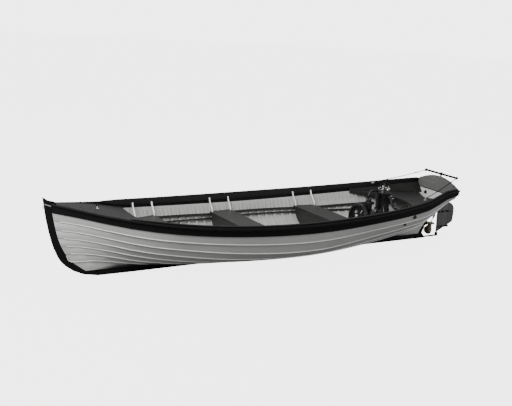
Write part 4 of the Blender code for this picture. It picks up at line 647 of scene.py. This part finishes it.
def slab_into(bm, low, high, ease=0.002):
    """A block with chamfered vertical and horizontal edges."""
    made = bmesh.ops.create_cube(bm, size=1.0)
    size = Vector(high) - Vector(low)
    middle = (Vector(high) + Vector(low)) / 2
    for vert in made["verts"]:
        vert.co = Vector(a * b for a, b in zip(vert.co, size)) + middle
    edges = list({edge for vert in made["verts"] for edge in vert.link_edges})
    bmesh.ops.bevel(bm, geom=edges, offset=min(ease, min(size) * 0.3), segments=2, affect="EDGES",
                    profile=0.5)


def torus_into(bm, ring, radius, segments=8):
    """A closed round ring through the given places."""
    centre = sum(ring, Vector()) / len(ring)
    across = (ring[1] - ring[0]).cross(ring[2] - ring[1]).normalized()
    rows = []
    for place in ring:
        out = (place - centre).normalized()
        rows.append([bm.verts.new(p) for p in ring_at(place, out * radius, across * radius, segments)])
    for low, high in zip(rows, rows[1:] + rows[:1]):
        joined_rings(bm, low, high)


def deck_reach(deck, x):
    """Half the deck's breadth at a station."""
    reach = 0.02
    while reach < 0.6 and deck.ray_cast(Vector((x, reach, 1.0)), -UP)[0]:
        reach += 0.004
    return reach


def hexagon_into(bm, start, direction, across, tall):
    """A bolt head with a chamfered top."""
    turned_into(bm, ((0.0, across * 0.577), (tall * 0.75, across * 0.577), (tall, across * 0.48)),
                start, direction, 6)


# Geometry Nodes trees

def new_tree(name, inputs):
    """A tree with named inputs and a Material one, their identifiers, and its start."""
    tree = bpy.data.node_groups.new(name, "GeometryNodeTree")
    face = tree.interface
    face.new_socket(name="Geometry", in_out="INPUT", socket_type="NodeSocketGeometry")
    ids = {}
    for label, kind, default in inputs:
        socket = face.new_socket(name=label, in_out="INPUT", socket_type=kind)
        socket.default_value = default
        ids[label] = socket.identifier
    socket = face.new_socket(name="Material", in_out="INPUT", socket_type="NodeSocketMaterial")
    ids["Material"] = socket.identifier
    face.new_socket(name="Geometry", in_out="OUTPUT", socket_type="NodeSocketGeometry")
    return tree, ids, tree.nodes.new("NodeGroupInput")


def end_tree(tree, start, made):
    """Realize what was made, give it the material and put it out."""
    nodes, links = tree.nodes, tree.links
    real = nodes.new("GeometryNodeRealizeInstances")
    links.new(made, real.inputs["Geometry"])
    coat = nodes.new("GeometryNodeSetMaterial")
    links.new(real.outputs["Geometry"], coat.inputs["Geometry"])
    links.new(start.outputs["Material"], coat.inputs["Material"])
    links.new(coat.outputs["Geometry"], nodes.new("NodeGroupOutput").inputs["Geometry"])


def build_stud_tree():
    """A low dome on each point, turned to the point's facing, its size a little varied."""
    tree, ids, start = new_tree("studs", (("Radius", "NodeSocketFloat", 0.004), ("Seed", "NodeSocketInt", 1)))
    nodes, links = tree.nodes, tree.links
    facing = nodes.new("GeometryNodeInputNamedAttribute")
    facing.data_type = "FLOAT_VECTOR"
    facing.inputs["Name"].default_value = "facing"
    ball = nodes.new("GeometryNodeMeshUVSphere")
    ball.inputs["Segments"].default_value = 8
    ball.inputs["Rings"].default_value = 5
    links.new(start.outputs["Radius"], ball.inputs["Radius"])
    flat = nodes.new("GeometryNodeTransform")
    flat.inputs["Scale"].default_value = (1.0, 1.0, 0.42)
    links.new(ball.outputs["Mesh"], flat.inputs["Geometry"])
    place = nodes.new("GeometryNodeInstanceOnPoints")
    links.new(start.outputs["Geometry"], place.inputs["Points"])
    links.new(flat.outputs["Geometry"], place.inputs["Instance"])
    turn = nodes.new("FunctionNodeAlignRotationToVector")
    turn.axis = "Z"
    links.new(facing.outputs["Attribute"], turn.inputs["Vector"])
    links.new(turn.outputs["Rotation"], place.inputs["Rotation"])
    vary = nodes.new("FunctionNodeRandomValue")
    vary.data_type = "FLOAT"
    vary.inputs[2].default_value = 0.88
    vary.inputs[3].default_value = 1.12
    links.new(start.outputs["Seed"], vary.inputs["Seed"])
    links.new(vary.outputs[1], place.inputs["Scale"])
    end_tree(tree, start, place.outputs["Instances"])
    return tree, ids


def build_bead_tree():
    """A round bead along curves."""
    tree, ids, start = new_tree("bead_along", (("Radius", "NodeSocketFloat", 0.003),
                                               ("Sides", "NodeSocketInt", 8)))
    nodes, links = tree.nodes, tree.links
    ring = nodes.new("GeometryNodeCurvePrimitiveCircle")
    links.new(start.outputs["Radius"], ring.inputs["Radius"])
    links.new(start.outputs["Sides"], ring.inputs["Resolution"])
    sweep = nodes.new("GeometryNodeCurveToMesh")
    sweep.inputs["Fill Caps"].default_value = True
    links.new(start.outputs["Geometry"], sweep.inputs["Curve"])
    links.new(ring.outputs["Curve"], sweep.inputs["Profile Curve"])
    soft = nodes.new("GeometryNodeSetShadeSmooth")
    links.new(sweep.outputs["Mesh"], soft.inputs["Geometry"])
    end_tree(tree, start, soft.outputs["Geometry"])
    return tree, ids


TREES = {}


def baked(name, source, kind, finish, values):
    """Run a node tree on a source object and keep the result as a plain mesh piece."""
    if kind not in TREES:
        TREES[kind] = {"studs": build_stud_tree, "bead": build_bead_tree}[kind]()
    tree, ids = TREES[kind]
    bpy.context.scene.collection.objects.link(source)
    step = source.modifiers.new("grow", "NODES")
    step.node_group = tree
    for label, value in values.items():
        step[ids[label]] = value
    step[ids["Material"]] = finish_named(finish)
    bpy.context.view_layer.update()
    graph = bpy.context.evaluated_depsgraph_get()
    mesh = bpy.data.meshes.new_from_object(source.evaluated_get(graph))
    source.modifiers.clear()
    bpy.data.objects.remove(source, do_unlink=True)
    piece = bpy.data.objects.new(name, mesh)
    if not mesh.materials:
        mesh.materials.append(finish_named(finish))
    if not len(mesh.polygons):
        raise RuntimeError(f"{name}: nothing was grown")
    bpy.context.scene.collection.objects.link(piece)
    return piece


def grown(name, kind, paths, finish, values):
    """A piece grown by a node tree along paths."""
    curve = bpy.data.curves.new(name + "_path", "CURVE")
    curve.dimensions = "3D"
    for path in paths:
        spline = curve.splines.new("POLY")
        spline.points.add(len(path) - 1)
        for point, place in zip(spline.points, path):
            point.co = (*place, 1.0)
    piece = baked(name, bpy.data.objects.new(name + "_path", curve), kind, finish, values)
    bpy.data.curves.remove(curve)
    return piece


def studded(name, heads, finish, radius):
    """Stud heads at (place, facing) pairs."""
    cloud = bpy.data.meshes.new(name + "_places")
    cloud.from_pydata([place for place, _ in heads], [], [])
    facing = cloud.attributes.new("facing", "FLOAT_VECTOR", "POINT")
    for item, (_, way) in zip(facing.data, heads):
        item.vector = way
    piece = baked(name, bpy.data.objects.new(name + "_places", cloud), "studs", finish,
                  {"Radius": radius, "Seed": sizes().seed})
    bpy.data.meshes.remove(cloud)
    piece.data.shade_smooth()
    return piece


def plain_faces(node):
    """A frame node's points and faces, for finding places on its surface."""
    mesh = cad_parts[node].data
    return [vert.co.copy() for vert in mesh.vertices], [tuple(face.vertices) for face in mesh.polygons]


def lap_edge(node, side):
    """The lower outer edge of one strake from aft forward, with the plank's facing at each point."""
    bm = bmesh.new()
    bm.from_mesh(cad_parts[node].data)
    bmesh.ops.remove_doubles(bm, verts=bm.verts, dist=MERGE)
    bm.normal_update()
    lines = []
    for edge in bm.edges:
        low, high = sorted(edge.verts, key=lambda vert: vert.co.x)
        if len(edge.link_faces) != 2 or high.co.x - low.co.x <= SHORTEST_EDGE:
            continue
        if edge.calc_face_angle(0.0) > SHARPEST_FLAT:
            middle = (low.co + high.co) / 2
            turn = math.atan2(side * middle.y, GIRTH_CENTRE - middle.z)
            wide = max(edge.link_faces, key=lambda face: face.calc_area())
            lines.append((turn, reach_of(middle), low, high, wide.normal.copy()))
    facing = {}
    for line in lines:
        low, high, normal = line[2:]
        x = (low.co.x + high.co.x) / 2
        beside = [other for other in lines if other[2].co.x < x < other[3].co.x]
        lowest = min(other[0] for other in beside)
        outer = max((other for other in beside if other[0] < lowest + EDGE_BAND), key=lambda other: other[1])
        if outer is line:
            facing[low] = facing[high] = normal
    found = []
    for vert in sorted(facing, key=lambda vert: vert.co.x):
        if found and vert.co.x - found[-1][0].x < POINT_PITCH:
            if reach_of(vert.co) < reach_of(found[-1][0]):
                continue
            found.pop()
        found.append((vert.co.copy(), facing[vert]))
    found[-1] = (found[-2][0].lerp(found[-1][0], BEAD_STOP), found[-1][1])
    bm.free()
    if len(found) < 12:
        raise RuntimeError(f"{node}: its lower edge was not found")
    return found


def reach_of(place):
    """Distance of a place from the line about which the girth is measured."""
    return math.hypot(place.y, GIRTH_CENTRE - place.z)


def smooth_path(points, parts=4):
    """Catmull-Rom points between the given ones."""
    out = []
    last = len(points) - 1
    for i in range(last):
        p0, p1, p2, p3 = points[max(i - 1, 0)], points[i], points[i + 1], points[min(i + 2, last)]
        for k in range(parts):
            t = k / parts
            out.append(0.5 * ((2 * p1) + (p2 - p0) * t + (2 * p0 - 5 * p1 + 4 * p2 - p3) * t * t
                              + (3 * p1 - p0 - 3 * p2 + p3) * t ** 3))
    out.append(points[-1])
    return out


def spaced(path, pitch, start=0.0):
    """Places at an even pitch along a path, each with the path's direction there."""
    out = []
    walked = -start
    for here, ahead in zip(path, path[1:]):
        run = ahead - here
        length = run.length
        while walked <= length:
            if walked >= 0.0:
                out.append((here + run * (walked / length), run.normalized()))
            walked += pitch
        walked -= length
    return out


# Operators

class LAUNCH_OT_hull(bpy.types.Operator):
    """Skin, backbone and rails"""
    bl_idname = "launch.hull"
    bl_label = "Hull skin and rails"

    def execute(self, context):
        # node, name, smoothing angle, bevel
        rails = (("sheer_strake", "top_strake", 28, 0.0), ("gunwale", "rail", 35, 0.003),
                 ("rub_rail", "rubbing", 50, 0.002))
        for tag, side in TAGS:
            for plank in LIGHT_PLANKS:
                skin = dressed(f"{plank}_{tag}", f"{plank}_plank_{tag}", "planking_paint",
                               "hull_light_paint", 28)
                skin.data.materials.append(finish_named("inside_paint"))
                for face in skin.data.polygons:
                    inward = face.normal.y * side < -0.05 or face.normal.z > 0.6
                    face.material_index = 1 if inward else 0
            for node, name, angle, bevel in rails:
                dressed(f"{node}_{tag}", f"{name}_{tag}", "black_gloss", "sheer_dark_paint", angle, bevel)
        for node, angle in (("keel", 35), ("sternpost", 35), ("horn_timber", 35), ("stem", 25)):
            dressed(node, f"{node}_timber", "black_gloss", "sheer_dark_paint", angle, 0.002)
        return {"FINISHED"}


class LAUNCH_OT_laps(bpy.types.Operator):
    """Beads and rivets along the laps of the planking; the beads' pale paint is a painted highlight along
    each lap
    """
    bl_idname = "launch.laps"
    bl_label = "Laps and rivets"

    def execute(self, context):
        s = sizes()
        for tag, side in TAGS:
            beads = []
            heads = []
            for plank in LIGHT_PLANKS[1:]:
                edge = lap_edge(f"{plank}_{tag}", side)
                bead = smooth_path([place for place, _ in edge])
                facing = smooth_path([normal for _, normal in edge])
                skin = BVHTree.FromPolygons(*plain_faces(f"{plank}_{tag}"))
                for place, run in spaced(bead, s.rivet_pitch, 0.05):
                    near = min(range(len(bead)), key=lambda i: (bead[i] - place).length)
                    rise = run.cross(facing[near]).normalized()
                    if rise.z < 0:
                        rise.negate()
                    aim = place + rise * RIVET_RISE + facing[near] * RIVET_OUT
                    spot, normal, _, _ = skin.find_nearest(aim)
                    heads.append((spot, normal))
                beads.append(bead)
            # the beads' pale paint is a painted highlight along each lap's edge
            piece = grown(f"lap_beads_{tag}", "bead", beads, "lap_highlight_paint",
                          {"Radius": s.bead_radius, "Sides": 8})
            settle(piece, "hull", "hull_light_paint")
            piece = studded(f"plank_rivets_{tag}", heads, "planking_paint", s.rivet_radius)
            settle(piece, "hull", "hull_light_paint")
        return {"FINISHED"}


class LAUNCH_OT_finishes(bpy.types.Operator):
    """Finishes on the frame's own pieces that keep their shape"""
    bl_idname = "launch.finishes"
    bl_label = "Finishes"

    def execute(self, context):
        table = {
            "rail_wood": ("riser_port", "riser_starboard", "stringer_port", "stringer_starboard",
                          "seat_back_port", "seat_back_starboard", "engine_bed"),
            "inside_paint": ("frames",),
            "floor_paint": ("floorboards",),
            "thwart_wood": ("panel_2", "panel_3"),
            "seat_boards": ("stern_seat",),
            "deck_boards": ("foredeck",),
            "bronze": ("propeller_shaft",),
            "bare_iron": ("heel_shoe", "gudgeon_lower", "gudgeon_upper", "yoke"),
        }
        for finish, nodes in table.items():
            for node in nodes:
                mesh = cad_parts[node].data
                if not mesh.materials:
                    mesh.materials.append(None)
                for index in range(len(mesh.materials)):
                    mesh.materials[index] = finish_named(finish)
        return {"FINISHED"}


class LAUNCH_OT_thwarts(bpy.types.Operator):
    """Thwarts with bright knee rods and their screws"""
    bl_idname = "launch.thwarts"
    bl_label = "Thwarts and knees"

    def execute(self, context):
        heads = []
        for node, top in THWART_TOPS.items():
            piece = dressed(node, f"{node}_seat", "thwart_wood", "seat_wood", 40)
            piece.data.materials.append(finish_named("galvanised"))
            for face in piece.data.polygons:
                face.material_index = 1 if face.center.z > top + 0.0015 else 0
            low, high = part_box(node)
            middle = (low.x + high.x) / 2
            for side in (-1, 1):
                for x in (middle - 0.05, middle + 0.05):
                    heads.append((Vector((x, side * (high.y - 0.045), top)), UP))
        settle(studded("thwart_screws", heads, "galvanised", 0.006), "hull", "dark_iron")
        return {"FINISHED"}


class LAUNCH_OT_transom(bpy.types.Operator):
    """Transom with its pale inner patch, iron and fastenings"""
    bl_idname = "launch.transom"
    bl_label = "Transom"

    def execute(self, context):
        board = dressed("transom", "transom_board", "rudder_grey", "rudder_paint", 40)
        bm = bmesh.new()
        bm.from_mesh(board.data)
        bmesh.ops.bisect_plane(bm, geom=bm.verts[:] + bm.edges[:] + bm.faces[:], plane_no=UP,
                               plane_co=(0.0, 0.0, PATCH_TOP))
        bm.to_mesh(board.data)
        bm.free()
        board.data.materials.append(finish_named("transom_patch"))
        board.data.materials.append(finish_named("transom_mottle"))
        for face in board.data.polygons:
            if face.normal.x > 0.5:
                face.material_index = 2 if face.center.z > PATCH_TOP else 1
        aft, fore = (corner.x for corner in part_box("transom"))
        bm = bmesh.new()
        slab_into(bm, (fore, -LEDGE_HALF, PATCH_TOP - 0.004), (fore + 0.006, LEDGE_HALF, PATCH_TOP + 0.004))
        fitting("transom_ledge", bm, "rail_wood", "seat_wood")
        bm = bmesh.new()
        for side in (-1, 1):
            rings_into(bm, [[Vector((x, side * (y - narrower), z)) for y, z in SIDE_BOARD_END]
                            for x, narrower in ((SIDE_BOARD_AFT, 0.0), (fore + 0.0005, 0.008))])
        fitting("side_board_ends", bm, "rail_wood", "seat_wood")
        bm = bmesh.new()
        slab_into(bm, (fore, EYE_PLATE[0], PATCH_TOP - 0.070),
                  (fore + 0.006, EYE_PLATE[1], PATCH_TOP - 0.030))
        bow = [(fore + out, EYE_AT, PATCH_TOP - down)
               for out, down in ((0.004, 0.036), (0.030, 0.036), (0.030, 0.064), (0.004, 0.064))]
        tube_into(bm, rounded(bow, 0.012), 0.004)
        fitting("transom_eye", bm, "bare_iron", "dark_iron")
        heads = [(Vector((aft, side * (0.05 + 0.24 * share), 0.22 + 0.17 * share)), Vector((-1.0, 0.0, 0.0)))
                 for side in (-1, 1) for share in (0.2, 0.4, 0.6, 0.8)]
        settle(studded("transom_screws", heads, "bare_iron", 0.005), "hull", "dark_iron")
        return {"FINISHED"}


def dropped(tree, x, y):
    """Where a plumb line from above meets a surface, and its facing there."""
    spot, normal, _, _ = tree.ray_cast(Vector((x, y, 1.0)), -UP)
    return spot, normal


class LAUNCH_OT_deck(bpy.types.Operator):
    """Ring bolt, stem head iron and the deck's fastenings"""
    bl_idname = "launch.deck"
    bl_label = "Deck and stem head"

    def execute(self, context):
        deck = BVHTree.FromPolygons(*plain_faces("foredeck"))
        spot, _ = dropped(deck, RING_X, 0.0)
        bm = bmesh.new()
        turned_into(bm, RING_BOLT, spot - UP * 0.001, UP, 16)
        fitting("deck_bolt", bm, "bright_iron", "dark_iron")
        bm = bmesh.new()
        torus_into(bm, ring_at(spot + UP * 0.028, Vector((0.0, 0.019, 0.0)), UP * 0.019, 24), 0.0042)
        fitting("deck_ring", bm, "bare_iron", "dark_iron")
        stem = BVHTree.FromPolygons(*plain_faces("stem"))
        bm = bmesh.new()
        for side in (-1, 1):
            rings = []
            for x, z in STEM_IRON:
                face, _, _, _ = stem.ray_cast(Vector((x, side, z)), Vector((0.0, -side, 0.0)))
                rings.append([Vector((x, face.y + side * out, z + up)) for out, up in STEM_IRON_SECTION])
            rings_into(bm, rings)
        fitting("stem_head_iron", bm, "bright_iron", "dark_iron")
        bm = bmesh.new()
        torus_into(bm, ring_at(BOW_EYE, Vector((0.0105, 0.0, 0.0)), UP * 0.0105, 20), 0.0028)
        fitting("bow_eye", bm, "bare_iron", "dark_iron")
        bm = bmesh.new()
        for side in (-1, 1):
            path = []
            for k in range(EDGING_STEPS + 1):
                x = EDGING_FROM + EDGING_LENGTH * k / EDGING_STEPS
                spot, _ = dropped(deck, x, side * (deck_reach(deck, x) - 0.006))
                path.append(spot + UP * 0.001)
            tube_into(bm, smooth_path(path, 3), 0.0065, 8)
        fitting("deck_edging", bm, "black_gloss", "sheer_dark_paint")
        heads = []
        for side in (-1, 1):
            for x in DECK_SCREWS:
                spot, normal = dropped(deck, x, side * (deck_reach(deck, x) - 0.022))
                if spot:
                    heads.append((spot, normal))
        settle(studded("deck_screws", heads, "bare_iron", 0.0045), "hull", "dark_iron")
        return {"FINISHED"}


class LAUNCH_OT_engine(bpy.types.Operator):
    """Engine castings with bolts, cups, pipes and the spark lead"""
    bl_idname = "launch.engine"
    bl_label = "Engine"

    def execute(self, context):
        for node, name in (("crankcase", "engine_case"), ("cylinder", "engine_cylinder"),
                           ("carburettor", "mixer_casting"), ("water_pump", "pump_casting")):
            dressed(node, name, "engine_enamel", "engine_black", 38, 0.0012)
        dressed("flywheel", "flywheel_casting", "engine_enamel", "engine_black", 38, 0.0015, "drive")
        dressed("exhaust_pipe", "exhaust_tube", "hot_iron", "engine_black", 50)
        for node, name in (("exhaust_outlet", "exhaust_flange"), ("water_outlet", "water_flange")):
            dressed(node, name, "outlet_iron", "dark_iron", 40, 0.0008)
        bm = bmesh.new()
        for k in range(HEAD_BOLTS):
            turn = math.tau * (k + 0.5) / HEAD_BOLTS
            out = Vector((math.cos(turn), math.sin(turn), 0.0)) * HEAD_BOLT_CIRCLE
            hexagon_into(bm, CYLINDER_AT + out - UP * 0.0005, UP, 0.016, 0.011)
        for x in BED_BOLTS:
            for side in (-1, 1):
                hexagon_into(bm, (x, side * BED_BOLT_OUT, BED_TOP), UP, 0.015, 0.010)
        fitting("engine_bolts", bm, "bright_iron", "engine_black", 30)
        bm = bmesh.new()
        turned_into(bm, SPARK_PLUG, PLUG_AT, (-0.12, 0.10, 1.0), 14)
        turned_into(bm, PRIMING_CUP, CUP_AT, UP, 16)
        handle = (CUP_AT + Vector((-0.004, 0.0, 0.015)), CUP_AT + Vector((0.010, 0.026, 0.017)))
        tube_into(bm, handle, 0.0028, 8)
        for start in ((-1.43, 0.050, 0.166), (-1.36, -0.045, 0.160), (-1.69, 0.035, 0.120)):
            turned_into(bm, GREASE_CUP, start, UP, 14)
        fitting("engine_brass", bm, "bright_brass", "bronze", 40)
        bm = bmesh.new()
        turned_into(bm, MIXER_CAP, (-1.704, 0.0, 0.300), UP, 18)
        turned_into(bm, PUMP_CAP, (-1.497, 0.121, 0.140), UP, 18)
        fitting("engine_caps", bm, "bright_brass", "bronze", 40)
        bm = bmesh.new()
        tubes_into(bm, VALVE_TUBES)
        for x in (-1.448, -1.468):
            turned_into(bm, ROD_GUIDE, (x, 0.040, 0.186), (0.0, 0.02, 1.0), 10)
        slab_into(bm, (-1.385, -0.022, 0.196), (-1.322, 0.046, 0.292), 0.006)
        turned_into(bm, TIMER_DRUM, (-1.354, 0.012, 0.288), UP, 16)
        fitting("valve_gear", bm, "engine_enamel", "engine_black", 45)
        bm = bmesh.new()
        tubes_into(bm, INLET_TUBES)
        fitting("inlet_bend", bm, "engine_enamel", "engine_black", 60)
        bm = bmesh.new()
        torus_into(bm, ring_at(TIMER_LOOP, Vector((0.021, 0.0063, 0.0)), UP * 0.021, 24), 0.0042)
        tube_into(bm, (TIMER_LOOP - UP * 0.020, (-1.372, 0.022, 0.318)), 0.0045, 8)
        fitting("timer_lever", bm, "bare_iron", "dark_iron", 60)
        bm = bmesh.new()
        tubes_into(bm, COPPER_PIPES)
        fitting("engine_pipes", bm, "copper", "bronze", 60)
        bm = bmesh.new()
        start = PLUG_AT + Vector((-0.0045, 0.004, 0.040))
        lead = [start, start + Vector((-0.004, 0.006, 0.028)), start + Vector((0.070, -0.030, 0.036)),
                start + Vector((0.170, -0.060, -0.080)), Vector((-1.410, -0.040, 0.235)),
                Vector((-1.395, -0.040, 0.190))]
        tube_into(bm, smooth_path(lead, 5), 0.0034, 8)
        fitting("spark_lead", bm, "dull_black", "engine_black", 60)
        bm = bmesh.new()
        tubes_into(bm, ROD_TUBES)
        turned_into(bm, ROD_KNOB, ROD_END, (1.0, 0.0, 0.1), 10)
        fitting("control_rod", bm, "bare_iron", "dark_iron", 60)
        return {"FINISHED"}


class LAUNCH_OT_drive(bpy.types.Operator):
    """Propeller, bearing, their nut and bolts, and the flywheel's cap"""
    bl_idname = "launch.drive"
    bl_label = "Propeller and bearing"

    def execute(self, context):
        dressed("propeller", "propeller_casting", "bronze", "bronze", 30, 0.0, "drive")
        dressed("stern_bearing", "bearing_casting", "bronze", "bronze", 35, 0.001)
        bm = bmesh.new()
        hexagon_into(bm, SHAFT_HUB - SHAFT_WAY * 0.046, -SHAFT_WAY, 0.022, 0.014)
        fitting("propeller_nut", bm, "bright_brass", "bronze", 30, "drive")
        bm = bmesh.new()
        for k in range(4):
            turn = math.tau * k / 4 + 0.4
            around = Vector((0.0, math.cos(turn), math.sin(turn)))
            around -= SHAFT_WAY * around.dot(SHAFT_WAY)
            hexagon_into(bm, SHAFT_HUB + SHAFT_WAY * 0.0805 + around * 0.0245, -SHAFT_WAY, 0.008, 0.005)
        fitting("bearing_bolts", bm, "bright_brass", "bronze", 30)
        wheel = BVHTree.FromPolygons(*plain_faces("flywheel"))
        front, _, _, _ = wheel.ray_cast(FLYWHEEL_HUB + SHAFT_WAY * 0.5, -SHAFT_WAY)
        bm = bmesh.new()
        turned_into(bm, WHEEL_CAP, front, SHAFT_WAY, 18)
        fitting("flywheel_cap", bm, "bright_iron", "dark_iron", 30, "drive")
        return {"FINISHED"}


class LAUNCH_OT_rudder(bpy.types.Operator):
    """Rudder boards, straps, yoke shackles and the steering lines"""
    bl_idname = "launch.rudder"
    bl_label = "Rudder and steering"

    def execute(self, context):
        dressed("rudder", "rudder_blade", "rudder_boards", "rudder_paint", 40, 0.0015, "rudder")
        bm = bmesh.new()
        heads = []
        inner, outer = STRAP_OUT
        for height, reach in ((-0.10, 0.190), (0.09, 0.205)):
            fore = RUDDER_FOOT + RUDDER_WAY * (height - RUDDER_FOOT.z)
            for side in (-1, 1):
                slab_into(bm, (fore.x - reach, min(side * inner, side * outer), height - 0.011),
                          (fore.x - 0.006, max(side * inner, side * outer), height + 0.011))
                for k in range(3):
                    place = Vector((fore.x - 0.03 - k * (reach - 0.05) / 2, side * outer, height))
                    heads.append((place, Vector((0.0, side, 0.0))))
        fitting("rudder_straps", bm, "bare_iron", "dark_iron", 40, "rudder")
        settle(studded("strap_rivets", heads, "galvanised", 0.0042), "rudder", "dark_iron")
        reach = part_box("yoke")[1].y - YOKE_TIP
        for tag, side in TAGS:
            knob = Vector((YOKE_KNOB[0], side * reach, YOKE_KNOB[1]))
            eye = Vector((LINE_EYE[0], side * LINE_EYE[1], LINE_EYE[2]))
            way = (eye - knob).normalized()
            bm = bmesh.new()
            torus_into(bm, ring_at(knob + way * 0.012, way * 0.012, UP * 0.012, 20), 0.003)
            fitting(f"yoke_shackle_{tag}", bm, "bright_iron", "dark_iron", 60, "rudder")
            bm = bmesh.new()
            start = knob + way * 0.024
            shares = [k / LINE_STEPS for k in range(LINE_STEPS + 1)]
            path = [start + (eye - start) * t + LINE_SAG * 4 * t * (1 - t) for t in shares]
            tube_into(bm, path, sizes().line_radius, 8)
            t = BARREL_SHARE
            barrel = start + (eye - start) * t + LINE_SAG * 4 * t * (1 - t)
            turned_into(bm, LINE_BARREL, barrel, way, 12)
            line = new_piece(f"tiller_line_{tag}", bm, "line_hemp", 60)
            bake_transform(line)
            bm = bmesh.new()
            slab_into(bm, eye + Vector((-0.020, -0.008, -0.020)), eye + Vector((0.024, 0.008, -0.014)))
            turned_into(bm, EYE_POST, eye - UP * 0.016, UP, 10)
            torus_into(bm, ring_at(eye, Vector((0.0, 0.008, 0.0)), UP * 0.008, 16), 0.0026)
            fitting(f"gunwale_eye_{tag}", bm, "bright_iron", "dark_iron", 60)
        return {"FINISHED"}


def seen_by_camera(tree):
    return tree.nodes.new("ShaderNodeLightPath").outputs["Is Camera Ray"]


class LAUNCH_OT_studio(bpy.types.Operator):
    """Camera, floor and soft light"""
    bl_idname = "launch.studio"
    bl_label = "Studio"

    def execute(self, context):
        scene = context.scene
        lens = bpy.data.cameras.new("camera")
        lens.lens = CAMERA_LENS
        lens.sensor_width = 36.0
        lens.clip_end = 200.0
        camera = bpy.data.objects.new("camera", lens)
        ahead = Vector(CAMERA_AHEAD).normalized()
        up = (Vector(CAMERA_UP) - ahead * Vector(CAMERA_UP).dot(ahead)).normalized()
        right = ahead.cross(up)
        turn = Matrix((right, up, -ahead)).transposed().to_4x4()
        camera.matrix_world = Matrix.Translation(CAMERA_PLACE) @ turn
        scene.collection.objects.link(camera)
        scene.camera = camera
        bm = bmesh.new()
        bmesh.ops.create_grid(bm, x_segments=8, y_segments=8, size=FLOOR_HALF)
        bmesh.ops.translate(bm, verts=bm.verts, vec=UP * (KEEL_Z - FLOOR_DROP))
        mesh = bpy.data.meshes.new("floor")
        bm.to_mesh(mesh)
        bm.free()
        ground = bpy.data.objects.new("floor", mesh)
        pale = bpy.data.materials.new("pale_floor")
        pale.use_nodes = True
        tree = pale.node_tree
        shader = tree.nodes["Principled BSDF"]
        shader.inputs["Base Color"].default_value = (FLOOR_TONE, FLOOR_TONE, FLOOR_TONE, 1.0)
        shader.inputs["Roughness"].default_value = 0.95
        shader.inputs["Specular IOR Level"].default_value = 0.1
        shader.inputs["Emission Color"].default_value = (1.0, 1.0, 1.0, 1.0)
        lift = math_node(tree, "MULTIPLY", seen_by_camera(tree), FLOOR_LIFT)
        tree.links.new(lift, shader.inputs["Emission Strength"])
        mesh.materials.append(pale)
        scene.collection.objects.link(ground)
        world = bpy.data.worlds.new("studio")
        world.use_nodes = True
        tree = world.node_tree
        sky = tree.nodes["Background"]
        sky.inputs["Color"].default_value = (1.0, 1.0, 1.0, 1.0)
        level = spread(tree, seen_by_camera(tree), 0.0, 1.0, ROOM_LIGHT, BACKDROP)
        tree.links.new(level, sky.inputs["Strength"])
        scene.world = world
        for name, place, aim, size, power in LAMPS:
            light = bpy.data.lights.new(name, "AREA")
            light.shape = "SQUARE"
            light.size = size
            light.energy = power
            lamp = bpy.data.objects.new(name, light)
            lamp.location = place
            lamp.rotation_mode = "QUATERNION"
            lamp.rotation_quaternion = (Vector(aim) - Vector(place)).to_track_quat("-Z", "Y")
            scene.collection.objects.link(lamp)
        return {"FINISHED"}


class LAUNCH_PT_panel(bpy.types.Panel):
    """Lists the launch's pieces, sizes and colours"""
    bl_idname = "LAUNCH_PT_panel"
    bl_label = "Motor launch"
    bl_space_type = "VIEW_3D"
    bl_region_type = "UI"
    bl_category = "Launch"

    def draw(self, context):
        column = self.layout.column(align=True)
        for step in STEPS:
            column.operator(step.bl_idname)
        for group in (context.scene.launch_paint, context.scene.launch_sizes):
            box = self.layout.box()
            for label in group.bl_rna.properties.keys():
                if label not in ("rna_type", "name"):
                    box.prop(group, label)


STEPS = (LAUNCH_OT_studio, LAUNCH_OT_finishes, LAUNCH_OT_hull, LAUNCH_OT_laps, LAUNCH_OT_thwarts,
         LAUNCH_OT_transom, LAUNCH_OT_deck, LAUNCH_OT_engine, LAUNCH_OT_drive, LAUNCH_OT_rudder)
CLASSES = (LaunchPaint, LaunchSizes) + STEPS + (LAUNCH_PT_panel,)


def register():
    for made in CLASSES:
        bpy.utils.register_class(made)
    bpy.types.Scene.launch_paint = PointerProperty(type=LaunchPaint)
    bpy.types.Scene.launch_sizes = PointerProperty(type=LaunchSizes)


def unregister():
    del bpy.types.Scene.launch_sizes
    del bpy.types.Scene.launch_paint
    for made in reversed(CLASSES):
        bpy.utils.unregister_class(made)


def main():
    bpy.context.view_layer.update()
    register()
    for step in STEPS:
        group, name = step.bl_idname.split(".")
        getattr(getattr(bpy.ops, group), name)()


if __name__ == "__main__":
    main()
